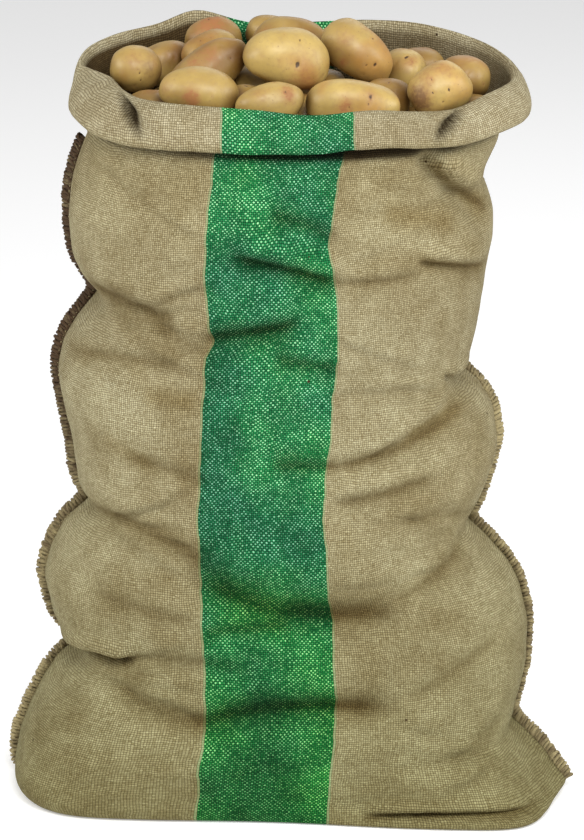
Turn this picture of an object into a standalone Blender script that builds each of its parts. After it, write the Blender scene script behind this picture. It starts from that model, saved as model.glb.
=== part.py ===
"""A jute hessian sack, filled with potatoes and standing on its base with its mouth rolled down.

Metres, +Z up. The front of the sack faces -Y and the origin is the middle of its base on the floor.
The cloth is one length of hessian folded at the bottom, and its two edges are sewn up the sides.
"""

import math

import bmesh
import bpy
import numpy as np
from mathutils import Euler, Vector
from mathutils.bvhtree import BVHTree

# Driving sizes of the sack.
CLOTH_THICKNESS = 0.0025
DEPTH_FRONT = 0.152
DEPTH_BACK = 0.145
FOOT_RADIUS = 0.008
NECK_HEIGHT = 0.664
SEAM_WIDTH = 0.010
SEAM_THICKNESS = 0.0050
SEAM_GAP = 0.0006
SEAM_BOTTOM = 0.015
SEAM_TOP = 0.655

# The cloth is modelled finely and then thinned to this share of its triangles, which keeps the folds.
COLUMNS_PER_SIDE = 70
CLOTH_SHARE_KEPT = 0.150

# Columns: height, reach from the middle to the left side of the cloth.
LEFT_OUTLINE = (
    (0.000, 0.266), (0.010, 0.278), (0.030, 0.279), (0.050, 0.275), (0.080, 0.263),
    (0.105, 0.251), (0.130, 0.235), (0.146, 0.211), (0.158, 0.229), (0.180, 0.242),
    (0.218, 0.249), (0.245, 0.241), (0.270, 0.228), (0.295, 0.199), (0.312, 0.214),
    (0.356, 0.219), (0.393, 0.227), (0.431, 0.233), (0.456, 0.227), (0.481, 0.212),
    (0.508, 0.189), (0.528, 0.206), (0.550, 0.217), (0.585, 0.220), (0.620, 0.217),
    (0.645, 0.209), (0.664, 0.202), (0.680, 0.196),
)
# Columns: height, reach from the middle to the right side of the cloth.
RIGHT_OUTLINE = (
    (0.000, 0.243), (0.010, 0.246), (0.020, 0.242), (0.035, 0.235), (0.050, 0.225), (0.064, 0.213),
    (0.080, 0.223), (0.120, 0.235), (0.165, 0.237), (0.205, 0.229), (0.230, 0.215),
    (0.255, 0.193), (0.272, 0.172), (0.288, 0.184), (0.318, 0.195), (0.350, 0.205),
    (0.385, 0.201), (0.408, 0.187), (0.425, 0.164), (0.441, 0.175), (0.480, 0.184),
    (0.518, 0.190), (0.568, 0.198), (0.593, 0.198), (0.612, 0.192), (0.630, 0.183),
    (0.647, 0.194), (0.664, 0.203), (0.680, 0.200),
)
# The lower right corner is pulled forwards into a pointed ear. Columns: height, pull forwards,
# reach of the ear beyond the side.
EAR_PULL = (
    (0.000, 0.060, 0.000), (0.004, 0.060, 0.024), (0.008, 0.059, 0.038), (0.020, 0.052, 0.025),
    (0.035, 0.038, 0.022), (0.050, 0.018, 0.013), (0.064, 0.006, 0.004), (0.090, 0.000, 0.000),
    (0.700, 0.000, 0.000),
)
# Columns: height, how far the front and the back bulge as a share of the depth, and how square
# the sack's section is there, from 0 for its round upper part to 1 for its base.
SECTION_PROFILE = (
    (0.000, 0.99, 1.12), (0.030, 1.04, 1.00), (0.090, 1.04, 0.50), (0.150, 0.98, 0.30),
    (0.220, 1.02, 0.15), (0.300, 0.98, 0.05), (0.400, 1.03, 0.00), (0.500, 0.98, 0.00),
    (0.580, 1.02, 0.00), (0.640, 0.98, 0.05), (0.680, 0.94, 0.10),
)
# Places where the filling pushes the front out. Columns: x, height, half width, half height, rise.
FRONT_BULGES = (
    (0.120, 0.000, 0.130, 0.011, 0.018),
    (0.228, 0.004, 0.050, 0.013, 0.012),
    (-0.238, 0.006, 0.050, 0.022, 0.008),
    (0.130, 0.080, 0.110, 0.050, 0.008),
    (-0.150, 0.060, 0.090, 0.050, 0.006),
    (-0.120, 0.215, 0.090, 0.040, 0.007),
    (0.080, 0.165, 0.110, 0.045, 0.007),
    (0.110, 0.480, 0.070, 0.045, 0.006),
    (-0.110, 0.400, 0.090, 0.050, 0.006),
    (-0.120, 0.590, 0.090, 0.040, 0.006),
    (0.060, 0.625, 0.090, 0.030, 0.006),
    (0.060, 0.290, 0.090, 0.028, 0.006),
    (0.165, 0.345, 0.050, 0.040, 0.006),
)
# The same for the back.
BACK_BULGES = (
    (-0.120, 0.080, 0.110, 0.045, 0.008),
    (0.110, 0.170, 0.110, 0.045, 0.008),
    (-0.100, 0.230, 0.100, 0.040, 0.008),
    (0.090, 0.350, 0.100, 0.050, 0.008),
    (-0.110, 0.420, 0.090, 0.050, 0.007),
    (0.070, 0.530, 0.100, 0.050, 0.007),
    (-0.060, 0.640, 0.110, 0.028, 0.005),
)
# Folds of the front, seen from the front. Columns: x and height at the start, the middle and
# the end of the fold, its depth, and its softness above and below the line.
FRONT_FOLDS = (
    (-0.208, 0.530, -0.168, 0.525, -0.104, 0.510, 0.011, 0.010, 0.018),
    (-0.145, 0.510, -0.112, 0.495, -0.070, 0.474, 0.006, 0.008, 0.013),
    (-0.098, 0.496, -0.045, 0.502, 0.016, 0.515, 0.014, 0.012, 0.018),
    (-0.225, 0.456, -0.165, 0.468, -0.100, 0.462, 0.008, 0.009, 0.014),
    (-0.028, 0.620, 0.008, 0.612, 0.048, 0.594, 0.009, 0.012, 0.016),
    (-0.066, 0.580, 0.000, 0.567, 0.054, 0.550, 0.016, 0.010, 0.018),
    (0.040, 0.553, 0.085, 0.552, 0.130, 0.556, 0.006, 0.006, 0.014),
    (0.118, 0.568, 0.158, 0.558, 0.196, 0.540, 0.015, 0.006, 0.014),
    (0.112, 0.688, 0.152, 0.643, 0.198, 0.592, 0.022, 0.007, 0.014),
    (0.146, 0.446, 0.168, 0.434, 0.190, 0.426, 0.013, 0.004, 0.010),
    (-0.022, 0.478, 0.012, 0.471, 0.050, 0.468, 0.008, 0.010, 0.014),
    (-0.165, 0.372, -0.120, 0.362, -0.070, 0.350, 0.006, 0.010, 0.014),
    (0.028, 0.366, 0.091, 0.378, 0.168, 0.410, 0.011, 0.010, 0.018),
    (-0.024, 0.371, 0.012, 0.369, 0.050, 0.368, 0.009, 0.012, 0.016),
    (0.032, 0.327, 0.080, 0.335, 0.150, 0.350, 0.009, 0.010, 0.016),
    (0.100, 0.303, 0.140, 0.306, 0.190, 0.286, 0.005, 0.008, 0.012),
    (-0.212, 0.300, -0.150, 0.298, -0.072, 0.262, 0.009, 0.012, 0.020),
    (-0.112, 0.262, -0.006, 0.221, 0.120, 0.222, 0.022, 0.025, 0.026),
    (0.095, 0.228, 0.132, 0.241, 0.174, 0.272, 0.006, 0.007, 0.012),
    (-0.096, 0.196, -0.045, 0.202, 0.006, 0.203, 0.008, 0.011, 0.014),
    (-0.210, 0.232, -0.150, 0.218, -0.086, 0.212, 0.006, 0.010, 0.016),
    (-0.242, 0.148, -0.206, 0.162, -0.152, 0.165, 0.017, 0.004, 0.011),
    (-0.205, 0.160, -0.130, 0.167, -0.034, 0.160, 0.006, 0.009, 0.016),
    (-0.184, 0.138, -0.135, 0.117, -0.072, 0.102, 0.007, 0.013, 0.017),
    (-0.112, 0.098, -0.020, 0.120, 0.112, 0.115, 0.014, 0.016, 0.020),
    (0.108, 0.128, 0.160, 0.150, 0.216, 0.184, 0.005, 0.009, 0.014),
    (0.150, 0.060, 0.190, 0.078, 0.214, 0.096, 0.003, 0.008, 0.014),
    (0.055, 0.007, 0.160, 0.012, 0.262, 0.012, 0.013, 0.004, 0.003),
)
# Folds of the back, seen from the front as well, with the same columns.
BACK_FOLDS = (
    (-0.200, 0.512, -0.120, 0.500, -0.010, 0.520, 0.011, 0.008, 0.022),
    (-0.205, 0.298, -0.110, 0.318, 0.010, 0.300, 0.011, 0.009, 0.024),
    (-0.225, 0.148, -0.140, 0.140, -0.020, 0.160, 0.013, 0.007, 0.020),
    (0.060, 0.440, 0.120, 0.446, 0.178, 0.430, 0.012, 0.007, 0.020),
    (0.020, 0.240, 0.110, 0.252, 0.195, 0.272, 0.012, 0.008, 0.024),
    (0.070, 0.092, 0.150, 0.086, 0.226, 0.070, 0.009, 0.007, 0.018),
    (0.090, 0.600, 0.140, 0.612, 0.190, 0.634, 0.010, 0.008, 0.018),
    (-0.130, 0.600, -0.020, 0.585, 0.090, 0.596, 0.008, 0.010, 0.024),
    (-0.110, 0.402, -0.010, 0.388, 0.080, 0.398, 0.008, 0.010, 0.024),
    (-0.120, 0.072, -0.010, 0.062, 0.080, 0.070, 0.007, 0.008, 0.018),
)
# The cuff's section from the neck over the rim to the tucked hem. Columns: the shares of the rim's
# inward lean, of the roll's width, of the neck's height below the rim and of the cuff's drop.
CUFF_SECTION = (
    (0.00, 0.00, 1.00, 0.00), (0.30, 0.00, 0.75, 0.00), (0.70, 0.00, 0.45, 0.00),
    (0.95, 0.00, 0.18, 0.00), (1.00, 0.08, 0.03, 0.00), (1.00, 0.26, 0.00, -0.05),
    (1.00, 0.52, 0.00, 0.04), (1.00, 0.78, 0.00, 0.24), (1.00, 0.94, 0.00, 0.52),
    (1.00, 1.00, 0.00, 0.80), (1.00, 0.93, 0.00, 0.97), (1.00, 0.80, 0.00, 1.02),
    (1.00, 0.70, 0.00, 0.92), (1.00, 0.66, 0.00, 0.66),
)
# Round the mouth from the left seam by way of the front. Columns: quarter turns, rim height,
# the cuff's drop, the rim's inward lean and the roll's width.
RIM_ROUND = (
    (0.00, 0.728, 0.037, 0.002, 0.018), (0.05, 0.728, 0.040, 0.026, 0.041),
    (0.14, 0.727, 0.040, 0.031, 0.045), (0.26, 0.725, 0.041, 0.028, 0.041),
    (0.42, 0.720, 0.039, 0.022, 0.036), (0.60, 0.721, 0.039, 0.010, 0.026),
    (0.90, 0.720, 0.036, 0.006, 0.022), (1.04, 0.714, 0.031, 0.006, 0.022),
    (1.16, 0.715, 0.031, 0.006, 0.022), (1.30, 0.718, 0.032, 0.008, 0.023),
    (1.44, 0.713, 0.028, 0.009, 0.026), (1.58, 0.709, 0.027, 0.012, 0.031),
    (1.68, 0.713, 0.028, 0.007, 0.034), (1.75, 0.720, 0.032, 0.002, 0.032),
    (1.82, 0.722, 0.032, -0.006, 0.027), (1.92, 0.724, 0.032, -0.014, 0.018),
    (2.03, 0.728, 0.032, -0.014, 0.011), (2.15, 0.732, 0.036, -0.011, 0.009),
    (2.35, 0.738, 0.042, -0.012, 0.009), (2.60, 0.746, 0.042, -0.016, 0.010),
    (2.90, 0.741, 0.042, -0.016, 0.010), (3.12, 0.738, 0.042, -0.016, 0.010),
    (3.22, 0.745, 0.046, -0.016, 0.010), (3.33, 0.759, 0.048, -0.016, 0.010),
    (3.44, 0.744, 0.044, -0.012, 0.010), (3.65, 0.740, 0.042, -0.008, 0.009),
    (3.82, 0.735, 0.038, -0.007, 0.009), (3.93, 0.729, 0.036, -0.005, 0.010),
    (4.00, 0.728, 0.037, 0.002, 0.018),
)
# Where the cuff's front tucks under its two sides. Columns: x, lean, depth, softness, reach down.
CUFF_PLEATS = (
    (-0.166, 0.65, 0.019, 0.010, 0.027),
    (0.160, -0.90, 0.015, 0.010, 0.021),
    (-0.095, 0.10, 0.003, 0.020, 0.060),
    (0.060, -0.20, 0.003, 0.022, 0.060),
)
# The seams' fins. Columns: height, turn of the left fin and of the right fin towards the front
# in degrees, where 0 points straight out to the side, and how far back each of them is rooted.
SEAM_COURSE = (
    (0.000, 25, -4, 0.000, 0.000), (0.030, 28, 8, 0.000, 0.000), (0.060, 30, 30, 0.000, 0.000),
    (0.090, 30, 42, 0.000, 0.000), (0.130, 25, 48, 0.000, 0.000), (0.220, 5, 50, 0.000, 0.000),
    (0.270, -10, 20, 0.000, 0.000), (0.340, -25, -35, 0.003, 0.012), (0.420, -30, -60, 0.006, 0.034),
    (0.520, -40, -80, 0.010, 0.048), (0.640, -45, -80, 0.012, 0.052),
)

# The potatoes that show in the mouth, and then the layer they lie on. Columns: x, y and height of
# the middle, length, width, thickness, and heading, pitch and roll in degrees.
POTATOES = (
    (-0.153, 0.008, 0.728, 0.054, 0.050, 0.050, 20, 10, 0),
    (-0.124, 0.062, 0.722, 0.066, 0.048, 0.046, 25, -10, 0),
    (-0.074, 0.096, 0.736, 0.060, 0.052, 0.050, 5, 0, 0),
    (-0.084, 0.050, 0.736, 0.062, 0.044, 0.042, 30, -15, 0),
    (-0.084, 0.002, 0.728, 0.096, 0.056, 0.052, 8, -34, 0),
    (-0.089, -0.066, 0.721, 0.080, 0.056, 0.052, -4, 4, 0),
    (-0.144, -0.045, 0.697, 0.060, 0.046, 0.046, -20, 5, 0),
    (-0.028, 0.108, 0.739, 0.054, 0.048, 0.044, -10, 10, 0),
    (0.001, 0.058, 0.744, 0.082, 0.050, 0.050, -4, 4, 0),
    (-0.002, -0.018, 0.740, 0.090, 0.064, 0.064, 8, 12, 0),
    (0.064, 0.012, 0.739, 0.080, 0.058, 0.054, -18, 34, 0),
    (-0.037, -0.036, 0.712, 0.050, 0.044, 0.042, 40, 0, 0),
    (-0.019, -0.092, 0.714, 0.068, 0.042, 0.046, 6, -10, 0),
    (0.054, -0.084, 0.711, 0.096, 0.052, 0.052, 3, 4, 0),
    (0.102, 0.022, 0.722, 0.052, 0.046, 0.046, -30, 12, 0),
    (0.094, -0.032, 0.708, 0.052, 0.044, 0.044, -15, 10, 0),
    (0.127, 0.074, 0.714, 0.052, 0.046, 0.042, 30, 0, 0),
    (0.145, -0.046, 0.717, 0.066, 0.052, 0.056, 12, -20, 20),
    (0.169, 0.008, 0.719, 0.054, 0.046, 0.046, -40, 10, 0),
    (0.053, 0.104, 0.730, 0.066, 0.048, 0.046, 8, 0, 0),
    (0.178, -0.034, 0.696, 0.048, 0.042, 0.042, 70, 0, 0),
    (-0.120, -0.080, 0.664, 0.066, 0.056, 0.052, -25, 0, 0),
    (-0.040, -0.084, 0.658, 0.078, 0.058, 0.054, 10, 0, 0),
    (0.040, -0.086, 0.654, 0.074, 0.058, 0.054, -12, 0, 0),
    (0.116, -0.084, 0.662, 0.070, 0.056, 0.054, 28, 0, 0),
    (-0.158, 0.010, 0.668, 0.068, 0.058, 0.052, 70, 0, 0),
    (-0.090, -0.014, 0.662, 0.072, 0.060, 0.056, 15, 0, 0),
    (-0.014, -0.018, 0.676, 0.070, 0.060, 0.056, -20, 0, 0),
    (0.060, -0.010, 0.674, 0.072, 0.060, 0.056, 35, 0, 0),
    (0.126, 0.004, 0.666, 0.066, 0.058, 0.054, -60, 0, 0),
    (-0.112, 0.080, 0.670, 0.070, 0.058, 0.054, -20, 0, 0),
    (-0.046, 0.060, 0.682, 0.070, 0.058, 0.056, 30, 0, 0),
    (0.026, 0.066, 0.684, 0.070, 0.058, 0.056, -15, 0, 0),
    (0.092, 0.076, 0.670, 0.066, 0.058, 0.054, 10, 0, 0),
    (0.162, 0.060, 0.664, 0.062, 0.054, 0.050, -50, 0, 0),
    (-0.010, 0.110, 0.672, 0.058, 0.048, 0.046, 5, 0, 0),
    (-0.040, 0.016, 0.700, 0.060, 0.052, 0.048, -35, 0, 0),
    (0.034, 0.030, 0.696, 0.058, 0.050, 0.048, 50, 0, 0),
    (-0.070, -0.114, 0.682, 0.062, 0.044, 0.046, 5, 0, 0),
    (0.004, -0.116, 0.674, 0.064, 0.042, 0.046, -4, 0, 0),
    (0.080, -0.112, 0.678, 0.060, 0.044, 0.044, -8, 0, 0),
    (0.024, -0.060, 0.698, 0.056, 0.048, 0.046, 60, 0, 0),
    (-0.070, 0.112, 0.688, 0.058, 0.046, 0.046, -14, 0, 0),
    (0.000, 0.010, 0.634, 0.084, 0.070, 0.064, 20, 0, 0),
    (-0.070, 0.028, 0.626, 0.080, 0.068, 0.062, -30, 0, 0),
    (0.004, -0.070, 0.616, 0.082, 0.068, 0.062, 15, 0, 0),
    (0.090, -0.040, 0.622, 0.080, 0.068, 0.062, -40, 0, 0),
)
TOP_POTATOES = 21
LEVEL = np.array([0.35, 1.0, 0.30])
POTATO_GAP = 0.0015
POTATO_RINGS = 7
POTATO_SIDES = 9

HESSIAN = (0.44, 0.38, 0.24)
SEAM_YARN = (0.20, 0.14, 0.07)
POTATO_SKIN = (0.60, 0.43, 0.20)


def eased(at, rows, column=1, soften=0.004):
    """Straight lines through the rows of a table, rounded off over about the softness given."""
    places = np.array([row[0] for row in rows])
    values = np.array([row[column] for row in rows])
    fine = np.arange(places[0] - 4 * soften, places[-1] + 4 * soften, soften / 4)
    reach = np.arange(-12, 13) / 4
    weights = np.exp(-0.5 * reach**2)
    padded = np.pad(np.interp(fine, places, values), 12, mode="edge")
    smooth = np.convolve(padded, weights / weights.sum(), mode="valid")
    return np.interp(at, fine, smooth)


def unit_section(squareness, samples=721, aspect=0.7):
    """Half of the sack's section, from the left seam to the right one, at equal steps of length.

    It is a superellipse: x is -cos(t) and y is sin(t), each to the power 2 / squareness.
    """
    turn = np.linspace(0, math.pi, samples)
    across = -np.sign(np.cos(turn)) * np.abs(np.cos(turn)) ** (2 / squareness)
    out = np.sin(turn) ** (2 / squareness)
    steps = np.hypot(np.diff(across), aspect * np.diff(out))
    along = np.concatenate([[0], np.cumsum(steps)])
    even = np.linspace(0, along[-1], samples)
    return np.interp(even, along, across), np.interp(even, along, out)


ROUND_SECTION = unit_section(2.3)
SQUARE_SECTION = unit_section(3.7)


def section_at(share, height):
    """The unit section at a share of the way from seam to seam, squarer towards the base."""
    even = np.linspace(0, 1, len(ROUND_SECTION[0]))
    square = eased(height, SECTION_PROFILE, 2, soften=0.02)
    across = (1 - square) * np.interp(share, even, ROUND_SECTION[0])
    across += square * np.interp(share, even, SQUARE_SECTION[0])
    out = (1 - square) * np.interp(share, even, ROUND_SECTION[1])
    out += square * np.interp(share, even, SQUARE_SECTION[1])
    return across, out


def fold_depth(x, height, folds):
    """How far the folds draw the cloth in. Each fold's line is a parabola through its three points.

    Across the line the depth falls off as a bell, narrow above it and wide below, and it
    fades towards both ends of the fold.
    """
    depth = np.zeros_like(x)
    for x0, z0, x1, z1, x2, z2, deep, above, below in folds:
        curve = np.polyfit((x0, x1, x2), (z0, z1, z2), 2)
        inside = np.clip(x, x0, x2)
        slope = np.polyval(np.polyder(curve), inside)
        off = (height - np.polyval(curve, inside)) / np.hypot(1, slope)
        bell = np.exp(-((off / np.where(off > 0, above, below)) ** 2))
        lip = 0.35 * np.exp(-(((off - 2.1 * above) / (1.3 * above)) ** 2))
        share = (x - x0) / (x2 - x0)
        fade = np.clip(share / 0.22, 0, 1) * np.clip((1 - share) / 0.22, 0, 1)
        depth += deep * (bell - lip) * fade * fade * (3 - 2 * fade)
    return depth


def filling_lumps(x, height, seed):
    """Low rounded bumps where potatoes press against the cloth, as a sum of bells."""
    chance = np.random.default_rng(seed)
    lumps = np.zeros_like(x)
    for row in range(11):
        for column in range(7):
            middle_x = (column - 3 + 0.5 * (row % 2)) * 0.066 + chance.uniform(-0.014, 0.014)
            middle_z = 0.05 + row * 0.058 + chance.uniform(-0.012, 0.012)
            size = chance.uniform(0.022, 0.034)
            rise = chance.uniform(0.0005, 0.0040)
            away = (x - middle_x) ** 2 + (height - middle_z) ** 2
            lumps += rise * np.exp(-away / size**2)
    return lumps


def outward(across, out):
    """The horizontal direction away from the sack's middle, for a place on its section."""
    lean_x = across * np.abs(across) ** 1.5 / 0.23
    lean_y = out**1.5 / 0.15
    size = np.hypot(lean_x, lean_y)
    return lean_x / size, lean_y / size


def body_point(share, height, front, draw_in=0.0, folded=1.0):
    """The body's cloth at a share of the way from the left seam to the right one, and a height.

    The last value is how much of the folds' depth is kept.
    """
    across, out = section_at(share, height)
    left = eased(height, LEFT_OUTLINE)
    right = eased(height, RIGHT_OUTLINE)
    smooth_left = eased(height, LEFT_OUTLINE, soften=0.04)
    smooth_right = eased(height, RIGHT_OUTLINE, soften=0.04)
    near_side = np.abs(across) ** 4
    reach_left = smooth_left + (left - smooth_left) * near_side
    reach_right = smooth_right + (right - smooth_right) * near_side
    reach = np.where(across < 0, reach_left, reach_right)
    middle = (smooth_right - smooth_left) / 2 * (1 - across**2)
    x = across * reach + middle
    depth = (DEPTH_FRONT if front else DEPTH_BACK) * eased(height, SECTION_PROFILE, soften=0.02)
    y = out * depth
    calm = np.clip((height - 0.004) / 0.03, 0, 1) * np.clip((0.70 - height) / 0.05, 0, 1)
    away = -folded * fold_depth(x, height, FRONT_FOLDS if front else BACK_FOLDS) * out**0.5
    away += filling_lumps(x, height, 5 if front else 9) * calm * out
    for middle_x, middle_z, wide, tall, rise in FRONT_BULGES if front else BACK_BULGES:
        off = ((x - middle_x) / wide) ** 2 + ((height - middle_z) / tall) ** 2
        away += rise * np.exp(-off) * out**0.5
    away -= draw_in
    away_x, away_y = outward(across, out)
    x = x + away * away_x
    y = y + away * away_y
    pulled = eased(height, EAR_PULL) * np.clip(across, 0, 1) ** 3
    x = x + eased(height, EAR_PULL, 2) * np.clip(1 - out / 0.6, 0, 1) ** 1.5 * (across > 0)
    return x, (-y if front else y) - pulled


def cuff_path(count):
    """The cuff's section as evenly spaced points, rounded by Chaikin's corner cutting."""
    line = np.array(CUFF_SECTION)
    for _ in range(3):
        first = 0.75 * line[:-1] + 0.25 * line[1:]
        second = 0.25 * line[:-1] + 0.75 * line[1:]
        inner = np.stack([first, second], axis=1).reshape(-1, 4)
        line = np.concatenate([line[:1], inner, line[-1:]])
    scales = np.array([0.015, 0.035, 0.060, 0.045])
    along = np.concatenate([[0], np.cumsum(np.linalg.norm(np.diff(line, axis=0) * scales, axis=1))])
    at = np.linspace(0, along[-1], count)
    return np.stack([np.interp(at, along, line[:, column]) for column in range(4)], axis=1)


def cuff_point(share, section, front):
    """A point of the mouth's rolled cuff, from its section and its place round the mouth."""
    lean_share, wide_share, neck_share, drop_share = section
    quarter = 2 * share if front else 4 - 2 * share
    rim, drop, lean, wide = (eased(quarter, RIM_ROUND, column, soften=0.045) for column in (1, 2, 3, 4))
    neck = np.full_like(share, NECK_HEIGHT)
    x, y = body_point(share, neck, front, folded=max(0.0, 2.5 * neck_share - 1.5))
    across, out = section_at(share, neck)
    away_x, away_y = outward(across, out)
    height = rim - (rim - NECK_HEIGHT) * neck_share - drop * drop_share
    away = wide * wide_share - lean * lean_share
    if front:
        place_x = x + away * away_x
        for middle, slant, deep, soft, reach in CUFF_PLEATS:
            off = place_x - middle - slant * (rim - height)
            bell = np.exp(-((off / np.where(off * middle > 0, soft * 0.4, soft * 1.4)) ** 2))
            bell *= np.exp(-(((rim - height) / reach) ** 4))
            away -= deep * bell * min(1.0, max(0.0, wide_share * 2 - 0.5))
    return x + away * away_x, y + away * (-away_y if front else away_y), height


def cloth_rows(body_rows, foot_rows, cuff_rows):
    """The rows of the cloth's grid from the edge of the base to the hem, each a kind and a place."""
    rows = [("foot", turn) for turn in np.linspace(0, math.pi / 2, foot_rows, endpoint=False)]
    rows += [("body", height) for height in np.linspace(FOOT_RADIUS, 0.036, 8, endpoint=False)]
    rows += [("body", height) for height in np.linspace(0.036, NECK_HEIGHT, body_rows, endpoint=False)]
    rows += [("cuff", section) for section in cuff_path(cuff_rows)]
    return rows


def row_points(row, share, front):
    """The points of one row of the cloth's grid: x, y and height."""
    kind, place = row
    if kind == "cuff":
        return cuff_point(share, place, front)
    if kind == "body":
        height = np.full_like(share, place)
        x, y = body_point(share, height, front)
        return x, y, height
    height = np.full_like(share, FOOT_RADIUS * (1 - math.cos(place)))
    x, y = body_point(share, height, front, draw_in=FOOT_RADIUS * (1 - math.sin(place)))
    return x, y, height


def material(name, colour, roughness):
    """A plain Principled material."""
    made = bpy.data.materials.new(name)
    made.use_nodes = True
    shader = made.node_tree.nodes["Principled BSDF"]
    shader.inputs["Base Color"].default_value = (*colour, 1)
    shader.inputs["Roughness"].default_value = roughness
    made.diffuse_color = (*colour, 1)
    return made


def add_object(name, mesh, collection, look):
    """A named object with its mesh and its material, in the sack's collection."""
    made = bpy.data.objects.new(name, mesh)
    made.data.materials.clear()
    made.data.materials.append(look)
    collection.objects.link(made)
    return made


def cloth_sheet():
    """The sack's wall and cuff as an open surface: a grid that runs round from the left seam."""
    share = np.linspace(0, 1, COLUMNS_PER_SIDE + 1)
    rows = cloth_rows(body_rows=82, foot_rows=3, cuff_rows=20)
    rings = []
    for row in rows:
        front = np.stack(row_points(row, share, True), axis=1)
        back = np.stack(row_points(row, share, False), axis=1)
        rings.append(np.concatenate([front, back[-2:0:-1]]))
    points = np.array(rings)
    around = points.shape[1]
    index = np.arange(points.shape[0] * around).reshape(points.shape[:2])
    after = np.roll(index, -1, axis=1)
    faces = np.stack([index[:-1], after[:-1], after[1:], index[1:]], axis=2).reshape(-1, 4)
    mesh = bpy.data.meshes.new("cloth_sheet")
    mesh.from_pydata(points.reshape(-1, 3).tolist(), [], faces.tolist())
    return mesh


def close_base(mesh):
    """Close the open ring at the bottom with one flat face, and point all the faces outwards."""
    shape = bmesh.new()
    shape.from_mesh(mesh)
    ring = [edge for edge in shape.edges if edge.is_boundary and max(v.co.z for v in edge.verts) < 0.002]
    for edge in ring:
        for vertex in edge.verts:
            vertex.co.z = 0
    base = bmesh.ops.contextual_create(shape, geom=ring)["faces"][0]
    bmesh.ops.recalc_face_normals(shape, faces=shape.faces)
    if base.normal.z > 0:
        bmesh.ops.reverse_faces(shape, faces=shape.faces)
    shape.to_mesh(mesh)
    shape.free()


def build_cloth(collection):
    """The sack's cloth: the fine sheet thinned where it is smooth, then given its thickness inwards."""
    look = material("hessian", HESSIAN, 0.95)
    sheet = bpy.data.objects.new("cloth_sheet", cloth_sheet())
    collection.objects.link(sheet)
    thin = sheet.modifiers.new("thin_out", "DECIMATE")
    thin.ratio = CLOTH_SHARE_KEPT
    bpy.context.view_layer.update()
    graph = bpy.context.evaluated_depsgraph_get()
    mesh = bpy.data.meshes.new_from_object(sheet.evaluated_get(graph))
    bpy.data.objects.remove(sheet)
    close_base(mesh)
    mesh.shade_smooth()
    cloth = add_object("sack_cloth", mesh, collection, look)
    wall = cloth.modifiers.new("wall", "SOLIDIFY")
    wall.thickness = CLOTH_THICKNESS
    wall.offset = -1
    wall.use_even_offset = False
    return cloth


def turned(heading, pitch, roll):
    """The rotation of a potato whose length first points along +X."""
    angles = (math.radians(roll), math.radians(pitch), math.radians(heading))
    return Euler(angles, "XYZ").to_matrix()


def mouth_walls(heights, steps=61):
    """Rings of points along the inside of the neck and the rim, one ring for each height."""
    share = np.linspace(0, 1, steps)
    walls = []
    for height in heights:
        ring = []
        for front in (True, False):
            if height < NECK_HEIGHT:
                x, y = body_point(share, np.full_like(share, height), front)
            else:
                part = min(1.0, (height - NECK_HEIGHT) / 0.045)
                x, y, _ = cuff_point(share, (part, 0.0, 1 - part, 0.0), front)
            ring.append(np.stack([x, y], axis=1))
        walls.append(np.concatenate(ring))
    return np.array(walls)


def settle_potatoes():
    """Move the potatoes of the table apart until every two have a gap, and off the cloth.

    Each is an ellipsoid. Along a direction, two of them are apart by the distance of their
    middles less the reach of both, and each pair is parted along its best direction.
    """
    middles = np.array([row[:3] for row in POTATOES])
    halves = np.array([row[3:6] for row in POTATOES]) / 2
    turns = np.array([turned(*row[6:9]) for row in POTATOES])
    spots = np.arange(500) + 0.5
    slope = np.arccos(1 - 2 * spots / 500)
    spin = spots * math.pi * (1 + 5**0.5)
    ways = np.stack([np.cos(spin) * np.sin(slope), np.sin(spin) * np.sin(slope), np.cos(slope)], axis=1)
    reaches = np.linalg.norm(np.einsum("kji,dj->kdi", turns, ways) * halves[:, None, :], axis=2)
    heights = np.arange(0.60, 0.78, 0.01)
    walls = mouth_walls(heights)
    for _ in range(160):
        moved = 0.0
        for first in range(len(middles)):
            for second in range(first + 1, len(middles)):
                yields = 0.85 if second >= TOP_POTATOES > first else 0.5
                span = middles[second] - middles[first]
                if np.linalg.norm(span) > halves[first].max() + halves[second].max() + POTATO_GAP:
                    continue
                apart = ways @ span - reaches[first] - reaches[second]
                best = int(np.argmax(apart))
                short = POTATO_GAP - apart[best]
                if short > 0:
                    step = ways[best] * short
                    middles[first] -= step * (1 - yields) * (LEVEL if first < TOP_POTATOES else 1)
                    middles[second] += step * yields * (LEVEL if second < TOP_POTATOES else 1)
                    moved = max(moved, short)
        for index in range(len(middles)):
            ring = walls[int(np.argmin(np.abs(heights - middles[index][2])))]
            gaps = middles[index][:2] - ring
            nearest = gaps[int(np.argmin(np.hypot(*gaps.T)))]
            inside = 1.0 if nearest @ middles[index][:2] < 0 else -1.0
            way = np.array([*(inside * nearest / np.hypot(*nearest)), 0.0])
            reach = np.linalg.norm((turns[index].T @ way) * halves[index])
            short = reach + CLOTH_THICKNESS + 0.004 - inside * np.hypot(*nearest)
            if short > 0:
                middles[index] += way * short
                moved = max(moved, short)
        if moved < 0.0003:
            break
    return middles


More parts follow.
